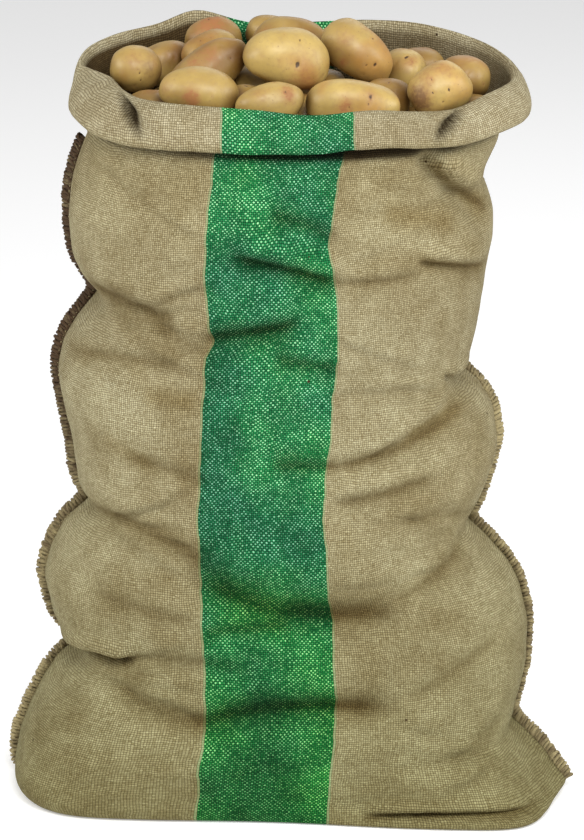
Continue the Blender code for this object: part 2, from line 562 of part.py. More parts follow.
def build_potatoes(collection):
    """The potatoes, each an uneven ball whose surface stays inside its own ellipsoid."""
    look = material("potato_skin", POTATO_SKIN, 0.55)
    for index, middle in enumerate(settle_potatoes()):
        row = POTATOES[index]
        shape = bmesh.new()
        bmesh.ops.create_uvsphere(shape, u_segments=POTATO_SIDES, v_segments=POTATO_RINGS, radius=1.0)
        bmesh.ops.rotate(shape, verts=shape.verts, matrix=Euler((0, math.pi / 2, 0)).to_matrix())
        for vertex in shape.verts:
            uneven = math.sin(2.1 * vertex.co.x + 1.7 * vertex.co.y + index)
            uneven += math.sin(2.6 * vertex.co.z - 1.9 * vertex.co.x + 2.3 * index)
            vertex.co *= 0.965 + 0.017 * uneven
            vertex.co = Vector(vertex.co[axis] * row[3 + axis] / 2 for axis in range(3))
        mesh = bpy.data.meshes.new(f"potato_{index + 1:02d}")
        shape.to_mesh(mesh)
        shape.free()
        mesh.shade_smooth()
        potato = add_object(mesh.name, mesh, collection, look)
        potato.location = middle
        potato.rotation_euler = [math.radians(row[angle]) for angle in (8, 7, 6)]


def build_seam(name, side, cloth, collection, look):
    """One side seam: a fin of coarse overlock stitching that stands off the cloth's edge.

    Its root follows the cloth, found by looking inwards from outside at each height.
    """
    graph = bpy.context.evaluated_depsgraph_get()
    wall = BVHTree.FromObject(cloth, graph)
    rings = []
    count = 64
    for step in range(count):
        height = SEAM_BOTTOM + (SEAM_TOP - SEAM_BOTTOM) * step / (count - 1)
        column = 1 if side < 0 else 2
        turn = math.radians(eased(height, SEAM_COURSE, column, soften=0.03))
        back = eased(height, SEAM_COURSE, column + 2, soften=0.03)
        back -= eased(height, EAR_PULL) if side > 0 else 0.0
        out = Vector((side * math.cos(turn), -math.sin(turn), 0))
        flat = Vector((side * math.sin(turn), math.cos(turn), 0))
        reach = 0.0
        for forward in (-0.5, 0.0, 0.5):
            for rise in (-0.005, 0.0, 0.005):
                start = Vector((side * 0.5, back + forward * SEAM_THICKNESS, height + rise))
                hit = wall.ray_cast(start, Vector((-side, 0, 0)))
                reach = max(reach, 0.5 - hit[3])
        stitch = 1 + 0.16 * math.sin(step * 2 * math.pi / 2.2)
        width = SEAM_WIDTH * stitch
        thick = SEAM_THICKNESS * (1 + 0.12 * math.sin(step * 2 * math.pi / 2.2 + 1.2))
        foot = Vector((side * (reach + SEAM_GAP), back, height))
        spread = Vector((0, thick * 0.4, 0))
        half = flat * (thick / 2)
        middle = foot + Vector((side * thick * 0.2, 0, 0))
        rings.append([
            foot - spread, middle + out * width * 0.45 - half, middle + out * width * 0.86 - half * 0.6,
            middle + out * width * 0.94, middle + out * width * 0.86 + half * 0.6,
            middle + out * width * 0.45 + half, foot + spread,
        ])
    shape = bmesh.new()
    loops = [[shape.verts.new(point) for point in ring] for ring in rings]
    around = len(loops[0])
    for lower, upper in zip(loops, loops[1:]):
        for edge in range(around):
            after = (edge + 1) % around
            shape.faces.new((lower[edge], lower[after], upper[after], upper[edge]))
    shape.faces.new(loops[0])
    shape.faces.new(loops[-1])
    bmesh.ops.recalc_face_normals(shape, faces=shape.faces)
    mesh = bpy.data.meshes.new(name)
    shape.to_mesh(mesh)
    shape.free()
    mesh.shade_smooth()
    return add_object(name, mesh, collection, look)


def main():
    for old in list(bpy.data.objects):
        bpy.data.objects.remove(old)
    collection = bpy.data.collections.new("hessian_sack")
    bpy.context.scene.collection.children.link(collection)
    cloth = build_cloth(collection)
    bpy.context.view_layer.update()
    yarn = material("seam_yarn", SEAM_YARN, 0.95)
    build_seam("seam_left", -1, cloth, collection, yarn)
    build_seam("seam_right", 1, cloth, collection, yarn)
    build_potatoes(collection)


main()
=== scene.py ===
"""A full hessian sack of potatoes: striped jute cloth, overlocked side seams and the heap in its mouth."""

import math

import bpy
import numpy as np
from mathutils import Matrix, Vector


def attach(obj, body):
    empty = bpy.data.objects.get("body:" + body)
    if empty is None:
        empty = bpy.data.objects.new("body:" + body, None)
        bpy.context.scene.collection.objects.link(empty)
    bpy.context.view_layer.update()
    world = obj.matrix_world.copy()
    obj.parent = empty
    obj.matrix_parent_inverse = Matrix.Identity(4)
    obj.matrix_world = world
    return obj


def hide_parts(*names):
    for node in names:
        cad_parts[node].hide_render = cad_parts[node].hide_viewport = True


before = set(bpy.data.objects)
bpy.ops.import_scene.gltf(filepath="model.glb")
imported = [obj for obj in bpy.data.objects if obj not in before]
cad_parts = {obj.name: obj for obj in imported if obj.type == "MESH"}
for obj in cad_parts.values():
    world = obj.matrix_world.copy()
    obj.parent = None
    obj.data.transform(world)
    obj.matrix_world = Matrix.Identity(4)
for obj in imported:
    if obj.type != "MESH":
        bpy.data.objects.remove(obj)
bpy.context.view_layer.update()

# The studio: a pale floor, soft lights in front of the sack, beside it and behind it, all above
# its top, and the camera a little above the middle of the sack.
scene = bpy.context.scene
scene.view_settings.view_transform = "Standard"
floor_mesh = bpy.data.meshes.new("studio_floor")
floor_corners = [(-9, -9, -0.0005), (9, -9, -0.0005), (9, 9, -0.0005), (-9, 9, -0.0005)]
floor_mesh.from_pydata(floor_corners, [], [(0, 1, 2, 3)])
floor = bpy.data.objects.new("studio_floor", floor_mesh)
scene.collection.objects.link(floor)
floor_paint = bpy.data.materials.new("studio_floor_paint")
floor_paint.use_nodes = True
floor_shader = floor_paint.node_tree.nodes["Principled BSDF"]
floor_shader.inputs["Base Color"].default_value = (0.92, 0.92, 0.92, 1)
floor_shader.inputs["Roughness"].default_value = 0.8
floor_shader.inputs["Emission Color"].default_value = (1, 1, 1, 1)
floor_shader.inputs["Emission Strength"].default_value = 0.28
floor_mesh.materials.append(floor_paint)

world = bpy.data.worlds.new("studio_air")
world.use_nodes = True
studio_air = world.node_tree.nodes["Background"]
studio_air.inputs["Color"].default_value = (1, 1, 1, 1)
studio_air.inputs["Strength"].default_value = 0.42
scene.world = world


def studio_light(name, place, aim, size, power):
    """A square area light at a place, turned to face the point it is aimed at."""
    lamp = bpy.data.lights.new(name, "AREA")
    lamp.size = size
    lamp.energy = power
    holder = bpy.data.objects.new(name, lamp)
    holder.location = place
    holder.rotation_euler = (aim - place).to_track_quat("-Z", "Y").to_euler()
    scene.collection.objects.link(holder)


sack_middle = Vector((0, 0, 0.371))
studio_light("light_front", Vector((0.25, -2.0, 2.1)), Vector((0, 0, 0.6)), 1.1, 46)
studio_light("light_right", Vector((2.1, -0.9, 1.6)), Vector((0, 0, 0.5)), 1.3, 34)
studio_light("light_left", Vector((-2.1, -0.9, 1.6)), Vector((0, 0, 0.5)), 1.3, 31)
studio_light("light_back", Vector((0.6, 2.4, 2.2)), sack_middle, 1.6, 12)

CAMERA_DISTANCE = 5.0
VIEW_HEIGHT = 0.840
SENSOR_WIDTH = 36
camera_data = bpy.data.cameras.new("camera")
camera_data.sensor_width = SENSOR_WIDTH
camera_data.lens = SENSOR_WIDTH * CAMERA_DISTANCE / VIEW_HEIGHT
camera = bpy.data.objects.new("camera", camera_data)
camera_tilt = math.radians(16.5)
camera.location = sack_middle + Vector((0, -math.cos(camera_tilt), math.sin(camera_tilt))) * CAMERA_DISTANCE
camera.rotation_euler = (math.radians(90) - camera_tilt, 0, 0)
scene.collection.objects.link(camera)
scene.camera = camera

# The sack's cloth: one length of plain-woven jute hessian with a green stripe, folded at the
# bottom and sewn up both sides. It stands in the shape its filling gives it, drawn in at the
# sides, and its mouth is rolled outwards into a cuff with the raw hem tucked inside.
CLOTH_THICKNESS = 0.0018
DEPTH_FRONT = 0.152
DEPTH_BACK = 0.145
FOOT_RADIUS = 0.008
NECK_HEIGHT = 0.664
# The height from which the cuff keeps the light off the neck.
COVERED_FROM = 0.672
# The cloth's grid: its rows under the base, round the foot and on the cuff, and its columns.
BASE_ROWS = 4
FOOT_ROWS = 4
CUFF_ROWS = 38
CLOTH_COLUMNS = 133
# Columns: height, reach from the middle to the left side of the cloth.
LEFT_OUTLINE = (
    (0.000, 0.266), (0.010, 0.278), (0.030, 0.279), (0.050, 0.275), (0.080, 0.263),
    (0.105, 0.251), (0.130, 0.235), (0.146, 0.211), (0.158, 0.229), (0.180, 0.242),
    (0.218, 0.249), (0.245, 0.241), (0.270, 0.228), (0.295, 0.199), (0.312, 0.214),
    (0.356, 0.219), (0.393, 0.227), (0.431, 0.233), (0.456, 0.227), (0.481, 0.212),
    (0.508, 0.189), (0.528, 0.206), (0.550, 0.217), (0.585, 0.220), (0.620, 0.217),
    (0.645, 0.209), (0.664, 0.202), (0.680, 0.196),
)
# Columns: height, reach from the middle to the right side of the cloth.
RIGHT_OUTLINE = (
    (0.000, 0.243), (0.010, 0.246), (0.020, 0.242), (0.035, 0.235), (0.050, 0.225), (0.064, 0.213),
    (0.080, 0.223), (0.120, 0.235), (0.165, 0.237), (0.205, 0.229), (0.230, 0.215),
    (0.255, 0.193), (0.272, 0.172), (0.288, 0.184), (0.318, 0.195), (0.350, 0.205),
    (0.385, 0.201), (0.408, 0.187), (0.425, 0.164), (0.441, 0.175), (0.480, 0.184),
    (0.518, 0.190), (0.568, 0.198), (0.593, 0.198), (0.612, 0.192), (0.630, 0.183),
    (0.647, 0.194), (0.664, 0.203), (0.680, 0.200),
)
# The lower right corner is pulled forwards into a pointed ear. Columns: height, pull forwards,
# reach of the ear beyond the side.
EAR_PULL = (
    (0.000, 0.060, 0.000), (0.004, 0.060, 0.024), (0.008, 0.059, 0.038), (0.020, 0.052, 0.025),
    (0.035, 0.038, 0.022), (0.050, 0.018, 0.013), (0.064, 0.006, 0.004), (0.090, 0.000, 0.000),
    (0.700, 0.000, 0.000),
)
# Columns: height, the bulge of front and back as a share of the depth, and how square the
# sack's section is there, from 0 for its round upper part to 1 for its base.
SECTION_PROFILE = (
    (0.000, 0.99, 1.12), (0.030, 1.04, 1.00), (0.090, 1.04, 0.50), (0.150, 0.98, 0.30),
    (0.220, 1.02, 0.15), (0.300, 0.98, 0.05), (0.400, 1.03, 0.00), (0.500, 0.98, 0.00),
    (0.580, 1.02, 0.00), (0.640, 0.98, 0.05), (0.680, 0.94, 0.10),
)
# Where the filling pushes the front and the back out. Columns: x, height, half width, half
# height, rise.
FRONT_BULGES = (
    (0.120, 0.000, 0.130, 0.011, 0.018), (0.228, 0.004, 0.050, 0.013, 0.012),
    (-0.238, 0.006, 0.050, 0.022, 0.008), (0.130, 0.080, 0.110, 0.050, 0.008),
    (-0.150, 0.060, 0.090, 0.050, 0.006), (-0.120, 0.215, 0.090, 0.040, 0.007),
    (0.080, 0.165, 0.110, 0.045, 0.007), (0.110, 0.480, 0.070, 0.045, 0.006),
    (-0.110, 0.400, 0.090, 0.050, 0.006), (-0.120, 0.590, 0.090, 0.040, 0.006),
    (0.060, 0.625, 0.090, 0.030, 0.006), (0.060, 0.290, 0.090, 0.028, 0.006),
    (0.165, 0.345, 0.050, 0.040, 0.006),
)
BACK_BULGES = (
    (-0.120, 0.080, 0.110, 0.045, 0.008), (0.110, 0.170, 0.110, 0.045, 0.008),
    (-0.100, 0.230, 0.100, 0.040, 0.008), (0.090, 0.350, 0.100, 0.050, 0.008),
    (-0.110, 0.420, 0.090, 0.050, 0.007), (0.070, 0.530, 0.100, 0.050, 0.007),
    (-0.060, 0.640, 0.110, 0.028, 0.005),
)
# Folds, seen from the front. Columns: x and height at the start, the middle and the end of
# the fold, its depth, and its softness above and below the line.
FRONT_FOLDS = (
    (-0.208, 0.530, -0.168, 0.525, -0.104, 0.510, 0.011, 0.010, 0.018),
    (-0.145, 0.510, -0.112, 0.495, -0.070, 0.474, 0.006, 0.008, 0.013),
    (-0.098, 0.496, -0.045, 0.502, 0.016, 0.515, 0.014, 0.012, 0.018),
    (-0.225, 0.456, -0.165, 0.468, -0.100, 0.462, 0.008, 0.009, 0.014),
    (-0.028, 0.620, 0.008, 0.612, 0.048, 0.594, 0.009, 0.012, 0.016),
    (-0.066, 0.580, 0.000, 0.567, 0.054, 0.550, 0.016, 0.010, 0.018),
    (0.040, 0.553, 0.085, 0.552, 0.130, 0.556, 0.006, 0.006, 0.014),
    (0.118, 0.568, 0.158, 0.558, 0.196, 0.540, 0.015, 0.006, 0.014),
    (0.112, 0.688, 0.152, 0.643, 0.198, 0.592, 0.022, 0.007, 0.014),
    (0.146, 0.446, 0.168, 0.434, 0.190, 0.426, 0.013, 0.004, 0.010),
    (-0.022, 0.478, 0.012, 0.471, 0.050, 0.468, 0.008, 0.010, 0.014),
    (-0.165, 0.372, -0.120, 0.362, -0.070, 0.350, 0.006, 0.010, 0.014),
    (0.028, 0.366, 0.091, 0.378, 0.168, 0.410, 0.011, 0.010, 0.018),
    (-0.024, 0.371, 0.012, 0.369, 0.050, 0.368, 0.009, 0.012, 0.016),
    (0.032, 0.327, 0.080, 0.335, 0.150, 0.350, 0.009, 0.010, 0.016),
    (0.100, 0.303, 0.140, 0.306, 0.190, 0.286, 0.005, 0.008, 0.012),
    (-0.212, 0.300, -0.150, 0.298, -0.072, 0.262, 0.009, 0.012, 0.020),
    (-0.112, 0.262, -0.006, 0.221, 0.120, 0.222, 0.022, 0.025, 0.026),
    (0.095, 0.228, 0.132, 0.241, 0.174, 0.272, 0.006, 0.007, 0.012),
    (-0.096, 0.196, -0.045, 0.202, 0.006, 0.203, 0.008, 0.011, 0.014),
    (-0.210, 0.232, -0.150, 0.218, -0.086, 0.212, 0.006, 0.010, 0.016),
    (-0.242, 0.148, -0.206, 0.162, -0.152, 0.165, 0.017, 0.004, 0.011),
    (-0.205, 0.160, -0.130, 0.167, -0.034, 0.160, 0.006, 0.009, 0.016),
    (-0.184, 0.138, -0.135, 0.117, -0.072, 0.102, 0.007, 0.013, 0.017),
    (-0.112, 0.098, -0.020, 0.120, 0.112, 0.115, 0.014, 0.016, 0.020),
    (0.108, 0.128, 0.160, 0.150, 0.216, 0.184, 0.005, 0.009, 0.014),
    (0.150, 0.060, 0.190, 0.078, 0.214, 0.096, 0.003, 0.008, 0.014),
    (0.055, 0.007, 0.160, 0.012, 0.262, 0.012, 0.013, 0.004, 0.003),
)
BACK_FOLDS = (
    (-0.200, 0.512, -0.120, 0.500, -0.010, 0.520, 0.011, 0.008, 0.022),
    (-0.205, 0.298, -0.110, 0.318, 0.010, 0.300, 0.011, 0.009, 0.024),
    (-0.225, 0.148, -0.140, 0.140, -0.020, 0.160, 0.013, 0.007, 0.020),
    (0.060, 0.440, 0.120, 0.446, 0.178, 0.430, 0.012, 0.007, 0.020),
    (0.020, 0.240, 0.110, 0.252, 0.195, 0.272, 0.012, 0.008, 0.024),
    (0.070, 0.092, 0.150, 0.086, 0.226, 0.070, 0.009, 0.007, 0.018),
    (0.090, 0.600, 0.140, 0.612, 0.190, 0.634, 0.010, 0.008, 0.018),
    (-0.130, 0.600, -0.020, 0.585, 0.090, 0.596, 0.008, 0.010, 0.024),
    (-0.110, 0.402, -0.010, 0.388, 0.080, 0.398, 0.008, 0.010, 0.024),
    (-0.120, 0.072, -0.010, 0.062, 0.080, 0.070, 0.007, 0.008, 0.018),
)
# Where a side is drawn in, fine creases fan out over front and back. Columns: x, height.
PINCHES = (
    (-0.205, 0.146), (-0.195, 0.295), (-0.185, 0.508), (-0.200, 0.655),
    (0.215, 0.064), (0.172, 0.272), (0.166, 0.427), (0.180, 0.632),
)
# The cuff's section from the neck over the rim to the tucked hem. Columns: the shares of the rim's
# inward lean, of the roll's width, of the neck's height below the rim and of the cuff's drop.
CUFF_SECTION = (
    (0.00, 0.00, 1.00, 0.00), (0.30, 0.00, 0.75, 0.00), (0.70, 0.00, 0.45, 0.00),
    (0.95, 0.00, 0.18, 0.00), (1.00, 0.08, 0.03, 0.00), (1.00, 0.26, 0.00, -0.05),
    (1.00, 0.52, 0.00, 0.04), (1.00, 0.78, 0.00, 0.24), (1.00, 0.94, 0.00, 0.52),
    (1.00, 1.00, 0.00, 0.80), (1.00, 0.93, 0.00, 0.97), (1.00, 0.80, 0.00, 1.02),
    (1.00, 0.70, 0.00, 0.92), (1.00, 0.66, 0.00, 0.66),
)
# Round the mouth from the left seam by way of the front. Columns: quarter turns, rim height,
# the cuff's drop, the rim's inward lean and the roll's width.
RIM_ROUND = (
    (0.00, 0.728, 0.037, 0.002, 0.018), (0.05, 0.728, 0.040, 0.026, 0.041),
    (0.14, 0.727, 0.040, 0.031, 0.045), (0.26, 0.725, 0.041, 0.028, 0.041),
    (0.42, 0.720, 0.039, 0.022, 0.036), (0.60, 0.721, 0.039, 0.010, 0.026),
    (0.90, 0.720, 0.036, 0.006, 0.022), (1.04, 0.714, 0.031, 0.006, 0.022),
    (1.16, 0.715, 0.031, 0.006, 0.022), (1.30, 0.718, 0.032, 0.008, 0.023),
    (1.44, 0.713, 0.028, 0.009, 0.026), (1.58, 0.709, 0.027, 0.012, 0.031),
    (1.68, 0.713, 0.028, 0.007, 0.034), (1.75, 0.720, 0.032, 0.002, 0.032),
    (1.82, 0.722, 0.032, -0.006, 0.027), (1.92, 0.724, 0.032, -0.014, 0.018),
    (2.03, 0.728, 0.032, -0.014, 0.011), (2.15, 0.732, 0.036, -0.011, 0.009),
    (2.35, 0.738, 0.042, -0.012, 0.009), (2.60, 0.746, 0.042, -0.016, 0.010),
    (2.90, 0.741, 0.042, -0.016, 0.010), (3.12, 0.738, 0.042, -0.016, 0.010),
    (3.22, 0.745, 0.046, -0.016, 0.010), (3.33, 0.759, 0.048, -0.016, 0.010),
    (3.44, 0.744, 0.044, -0.012, 0.010), (3.65, 0.740, 0.042, -0.008, 0.009),
    (3.82, 0.735, 0.038, -0.007, 0.009), (3.93, 0.729, 0.036, -0.005, 0.010),
    (4.00, 0.728, 0.037, 0.002, 0.018),
)
# Where the cuff's front tucks under its two sides. Columns: x, lean, depth, softness, reach down.
CUFF_PLEATS = (
    (-0.166, 0.65, 0.019, 0.010, 0.027),
    (0.160, -0.90, 0.015, 0.010, 0.021),
    (-0.095, 0.10, 0.003, 0.020, 0.060),
    (0.060, -0.20, 0.003, 0.022, 0.060),
)
# The green stripe on the front. Columns: climb of the cloth, which is the height up to the
# neck and the way along the cuff from there, and x at its left and its right edge.
STRIPE_COURSE = (
    (0.000, -0.094, 0.034), (0.056, -0.091, 0.038), (0.108, -0.085, 0.0425), (0.149, -0.085, 0.043),
    (0.211, -0.088, 0.039), (0.253, -0.089, 0.035), (0.315, -0.092, 0.031), (0.356, -0.090, 0.032),
    (0.397, -0.088, 0.037), (0.437, -0.0855, 0.039), (0.4755, -0.084, 0.045), (0.492, -0.0755, 0.0455),
    (0.505, -0.079, 0.0455), (0.545, -0.084, 0.042), (0.566, -0.083, 0.040), (0.591, -0.083, 0.034),
    (0.623, -0.080, 0.040), (0.664, -0.076, 0.046), (0.700, -0.070, 0.055), (0.740, -0.067, 0.059),
    (0.800, -0.066, 0.060),
)
FLAT_WIDTH = 0.600
STRIPE_FROM = 0.2115
STRIPE_TO = 0.3400


def eased(at, rows, column=1, soften=0.004):
    """Straight lines through the rows of a table, rounded off over about the softness given."""
    places = np.array([row[0] for row in rows])
    values = np.array([row[column] for row in rows])
    fine = np.arange(places[0] - 4 * soften, places[-1] + 4 * soften, soften / 4)
    reach = np.arange(-12, 13) / 4
    weights = np.exp(-0.5 * reach**2)
    padded = np.pad(np.interp(fine, places, values), 12, mode="edge")
    smooth = np.convolve(padded, weights / weights.sum(), mode="valid")
    return np.interp(at, fine, smooth)


def unit_section(squareness, samples=721, aspect=0.7):
    """Half of the sack's section, from the left seam to the right one, at equal steps of length.

    It is a superellipse: x is -cos(t) and y is sin(t), each to the power 2 / squareness.
    """
    turn = np.linspace(0, math.pi, samples)
    across = -np.sign(np.cos(turn)) * np.abs(np.cos(turn)) ** (2 / squareness)
    out = np.sin(turn) ** (2 / squareness)
    steps = np.hypot(np.diff(across), aspect * np.diff(out))
    along = np.concatenate([[0], np.cumsum(steps)])
    even = np.linspace(0, along[-1], samples)
    return np.interp(even, along, across), np.interp(even, along, out)


round_section = unit_section(2.3)
square_section = unit_section(3.7)


def section_at(share, height):
    """The unit section at a share of the way from seam to seam: a blend of round and square by height."""
    even = np.linspace(0, 1, len(round_section[0]))
    square = eased(height, SECTION_PROFILE, 2, soften=0.02)
    across = (1 - square) * np.interp(share, even, round_section[0])
    across += square * np.interp(share, even, square_section[0])
    out = (1 - square) * np.interp(share, even, round_section[1])
    out += square * np.interp(share, even, square_section[1])
    return across, out


def soft_noise(across, along, pitch_across, pitch_along, seed):
    """Smooth noise from -1 to 1: random numbers on a grid of the pitches given, blended by smoothsteps."""
    table = np.random.default_rng(seed).uniform(-1, 1, (64, 64))
    place_a = across / pitch_across + 31.7
    place_b = along / pitch_along + 17.3
    cell_a = np.floor(place_a).astype(int)
    cell_b = np.floor(place_b).astype(int)
    part_a = place_a - cell_a
    part_b = place_b - cell_b
    part_a = part_a * part_a * (3 - 2 * part_a)
    part_b = part_b * part_b * (3 - 2 * part_b)
    low = table[cell_a % 64, cell_b % 64] * (1 - part_a) + table[(cell_a + 1) % 64, cell_b % 64] * part_a
    high = table[cell_a % 64, (cell_b + 1) % 64] * (1 - part_a)
    high += table[(cell_a + 1) % 64, (cell_b + 1) % 64] * part_a
    return low * (1 - part_b) + high * part_b


def fold_shape(x, height, folds, sag):
    """How far the folds draw the cloth in, and how far the lip above each one sags over it.

    Each fold's line is a parabola through its three points. Across the line the depth falls off
    as a bell, narrow above and wide below. The lip is a second bell above the line, and both
    fade towards the ends of the fold.
    """
    depth = np.zeros_like(x)
    drop = np.zeros_like(x)
    for x0, z0, x1, z1, x2, z2, deep, above, below in folds:
        curve = np.polyfit((x0, x1, x2), (z0, z1, z2), 2)
        inside = np.clip(x, x0, x2)
        off = (height - np.polyval(curve, inside)) / np.hypot(1, np.polyval(np.polyder(curve), inside))
        bell = np.exp(-((off / np.where(off > 0, above, below)) ** 2))
        lip = np.exp(-(((off - 2.1 * above) / (1.3 * above)) ** 2))
        share = (x - x0) / (x2 - x0)
        fade = np.clip(share / 0.22, 0, 1) * np.clip((1 - share) / 0.22, 0, 1)
        fade = fade * fade * (3 - 2 * fade)
        depth += deep * (bell - 0.35 * lip) * fade
        drop += sag * deep * np.exp(-(((off - 1.2 * above) / (1.6 * above)) ** 2)) * fade
    return depth, drop


def fan_creases(seed):
    """Rows of fine folds that start at the drawn-in places and fan out towards the middle."""
    chance = np.random.default_rng(seed)
    rows = []
    for pinch_x, pinch_z in PINCHES:
        inward = -math.copysign(1, pinch_x)
        for slope in np.linspace(-0.75, 0.75, 6) + chance.uniform(-0.12, 0.12, 6):
            length = chance.uniform(0.05, 0.12)
            start = chance.uniform(0.004, 0.030)
            near = (pinch_x + inward * start, pinch_z + slope * start)
            far = (pinch_x + inward * (start + length), pinch_z + slope * length * 0.8)
            middle = ((near[0] + far[0]) / 2, (near[1] + far[1]) / 2 + chance.uniform(-0.006, 0.006))
            points = sorted([near, middle, far])
            flat = [number for point in points for number in point]
            deep = chance.uniform(0.0014, 0.0036)
            rows.append((*flat, deep, chance.uniform(0.003, 0.005), chance.uniform(0.005, 0.009)))
    return rows


def filling_lumps(x, height, seed):
    """Low rounded bumps where potatoes press against the cloth, as a sum of bells."""
    chance = np.random.default_rng(seed)
    lumps = np.zeros_like(x)
    for row in range(11):
        for column in range(7):
            middle_x = (column - 3 + 0.5 * (row % 2)) * 0.066 + chance.uniform(-0.014, 0.014)
            middle_z = 0.05 + row * 0.058 + chance.uniform(-0.012, 0.012)
            size = chance.uniform(0.022, 0.034)
            rise = chance.uniform(0.0005, 0.0040)
            lumps += rise * np.exp(-((x - middle_x) ** 2 + (height - middle_z) ** 2) / size**2)
    return lumps


def outward(across, out):
    """The horizontal direction away from the sack's middle, for a place on its section."""
    lean_x = across * np.abs(across) ** 1.5 / 0.23
    lean_y = out**1.5 / 0.15
    size = np.hypot(lean_x, lean_y)
    return lean_x / size, lean_y / size


def body_point(share, height, front, draw_in=0.0, folded=1.0):
    """The wall of the sack at a share of the way from the left seam to the right one, and a height.

    The unit section is stretched to the outline and the depth, then moved in at the folds and
    out at the bulges, the lumps and the fine creases of the cloth. The last value is how much of
    the folds' depth is kept.
    """
    across, out = section_at(share, height)
    smooth_left = eased(height, LEFT_OUTLINE, soften=0.04)
    smooth_right = eased(height, RIGHT_OUTLINE, soften=0.04)
    near_side = np.abs(across) ** 4
    reach_left = smooth_left + (eased(height, LEFT_OUTLINE) - smooth_left) * near_side
    reach_right = smooth_right + (eased(height, RIGHT_OUTLINE) - smooth_right) * near_side
    middle = (smooth_right - smooth_left) / 2 * (1 - across**2)
    x = across * np.where(across < 0, reach_left, reach_right) + middle
    depth = (DEPTH_FRONT if front else DEPTH_BACK) * eased(height, SECTION_PROFILE, soften=0.02)
    y = out * depth
    calm = np.clip((height - 0.004) / 0.03, 0, 1) * np.clip((0.70 - height) / 0.05, 0, 1)
    drawn, drop = fold_shape(x, height, FRONT_FOLDS if front else BACK_FOLDS, 0.40)
    creases, fine_drop = fold_shape(x, height, fan_creases(21 if front else 22), 0.30)
    away = -folded * drawn * out**0.5 - folded * creases * out**0.3 * calm
    away += filling_lumps(x, height, 5 if front else 9) * calm * out
    for middle_x, middle_z, wide, tall, rise in FRONT_BULGES if front else BACK_BULGES:
        off = ((x - middle_x) / wide) ** 2 + ((height - middle_z) / tall) ** 2
        away += rise * np.exp(-off) * out**0.5
    seed = 40 if front else 60
    ripple = 0.0016 * soft_noise(x, height, 0.070, 0.030, seed)
    ripple += 0.0009 * soft_noise(x + 0.4 * height, height, 0.032, 0.015, seed + 1)
    ripple += 0.0005 * soft_noise(x - 0.3 * height, height, 0.016, 0.009, seed + 2)
    away += ripple * calm * np.clip(out * 3, 0.25, 1) - draw_in
    away_x, away_y = outward(across, out)
    x = x + away * away_x
    y = y + away * away_y
    x = x + eased(height, EAR_PULL, 2) * np.clip(1 - out / 0.6, 0, 1) ** 1.5 * (across > 0)
    pulled = eased(height, EAR_PULL) * np.clip(across, 0, 1) ** 3
    return x, (-y if front else y) - pulled, height - (drop + fine_drop) * calm * out**0.5


def cuff_path(count):
    """The cuff's section as evenly spaced points, rounded by Chaikin's corner cutting."""
    line = np.array(CUFF_SECTION)
    for _ in range(3):
        first = 0.75 * line[:-1] + 0.25 * line[1:]
        second = 0.25 * line[:-1] + 0.75 * line[1:]
        inner = np.stack([first, second], axis=1).reshape(-1, 4)
        line = np.concatenate([line[:1], inner, line[-1:]])
    scales = np.array([0.015, 0.035, 0.060, 0.045])
    along = np.concatenate([[0], np.cumsum(np.linalg.norm(np.diff(line, axis=0) * scales, axis=1))])
    at = np.linspace(0, along[-1], count)
    return at, np.stack([np.interp(at, along, line[:, column]) for column in range(4)], axis=1)


def cuff_point(share, section, front):
    """A point of the rolled cuff, from its section and its place round the mouth.

    The wall at the neck is moved in by the rim's lean and out by the roll's width, and the
    height runs from the neck up to the rim and down again by the cuff's drop. The last value is
    how deep in a pleat's slit the point lies, from 0 to 1, which becomes the slit's painted shadow.
    """
    lean_share, wide_share, neck_share, drop_share = (part[:, None] for part in section.T)
    quarter = 2 * share if front else 4 - 2 * share
    rim, drop, lean, wide = (eased(quarter, RIM_ROUND, column, soften=0.045) for column in (1, 2, 3, 4))
    neck = np.full_like(share, NECK_HEIGHT)
    x, y, _ = body_point(share, neck, front, folded=np.clip(2.5 * neck_share - 1.5, 0, 1))
    away_x, away_y = outward(*section_at(share, neck))
    height = rim - (rim - NECK_HEIGHT) * neck_share - drop * drop_share
    away = wide * wide_share - lean * lean_share
    outer = np.clip(wide_share * 2 - 0.5, 0, 1)
    pleat_slit_shadow = 0 * away
    if front:
        place_x = x + away * away_x
        for middle, slant, deep, soft, reach in CUFF_PLEATS:
            off = place_x - middle - slant * (rim - height)
            bell = np.exp(-((off / np.where(off * middle > 0, soft * 0.4, soft * 1.4)) ** 2))
            fade = outer * np.exp(-(((rim - height) / reach) ** 4))
            away = away - deep * bell * fade
            pleat_slit_shadow = pleat_slit_shadow + 1.4 * (deep > 0.01) * fade * np.exp(-((off / (soft * 0.5)) ** 2))
    seed = 80 if front else 90
    round_way = share * 0.6 + np.zeros_like(away)
    way_up = drop_share * 0.045 + neck_share * 0.06
    ripple = 0.0022 * soft_noise(round_way, way_up, 0.050, 0.050, seed) * np.clip(wide_share * 3, 0, 1)
    ripple += 0.0012 * soft_noise(round_way + 0.7 * way_up, way_up, 0.022, 0.040, seed + 1)
    away = away + ripple * np.clip(drop_share * 2 + 0.4, 0, 1)
    height = height + 0.0020 * soft_noise(round_way, way_up, 0.036, 0.2, seed + 2) * wide_share
    return x + away * away_x, y + away * (-away_y if front else away_y), height, pleat_slit_shadow.clip(0, 1)
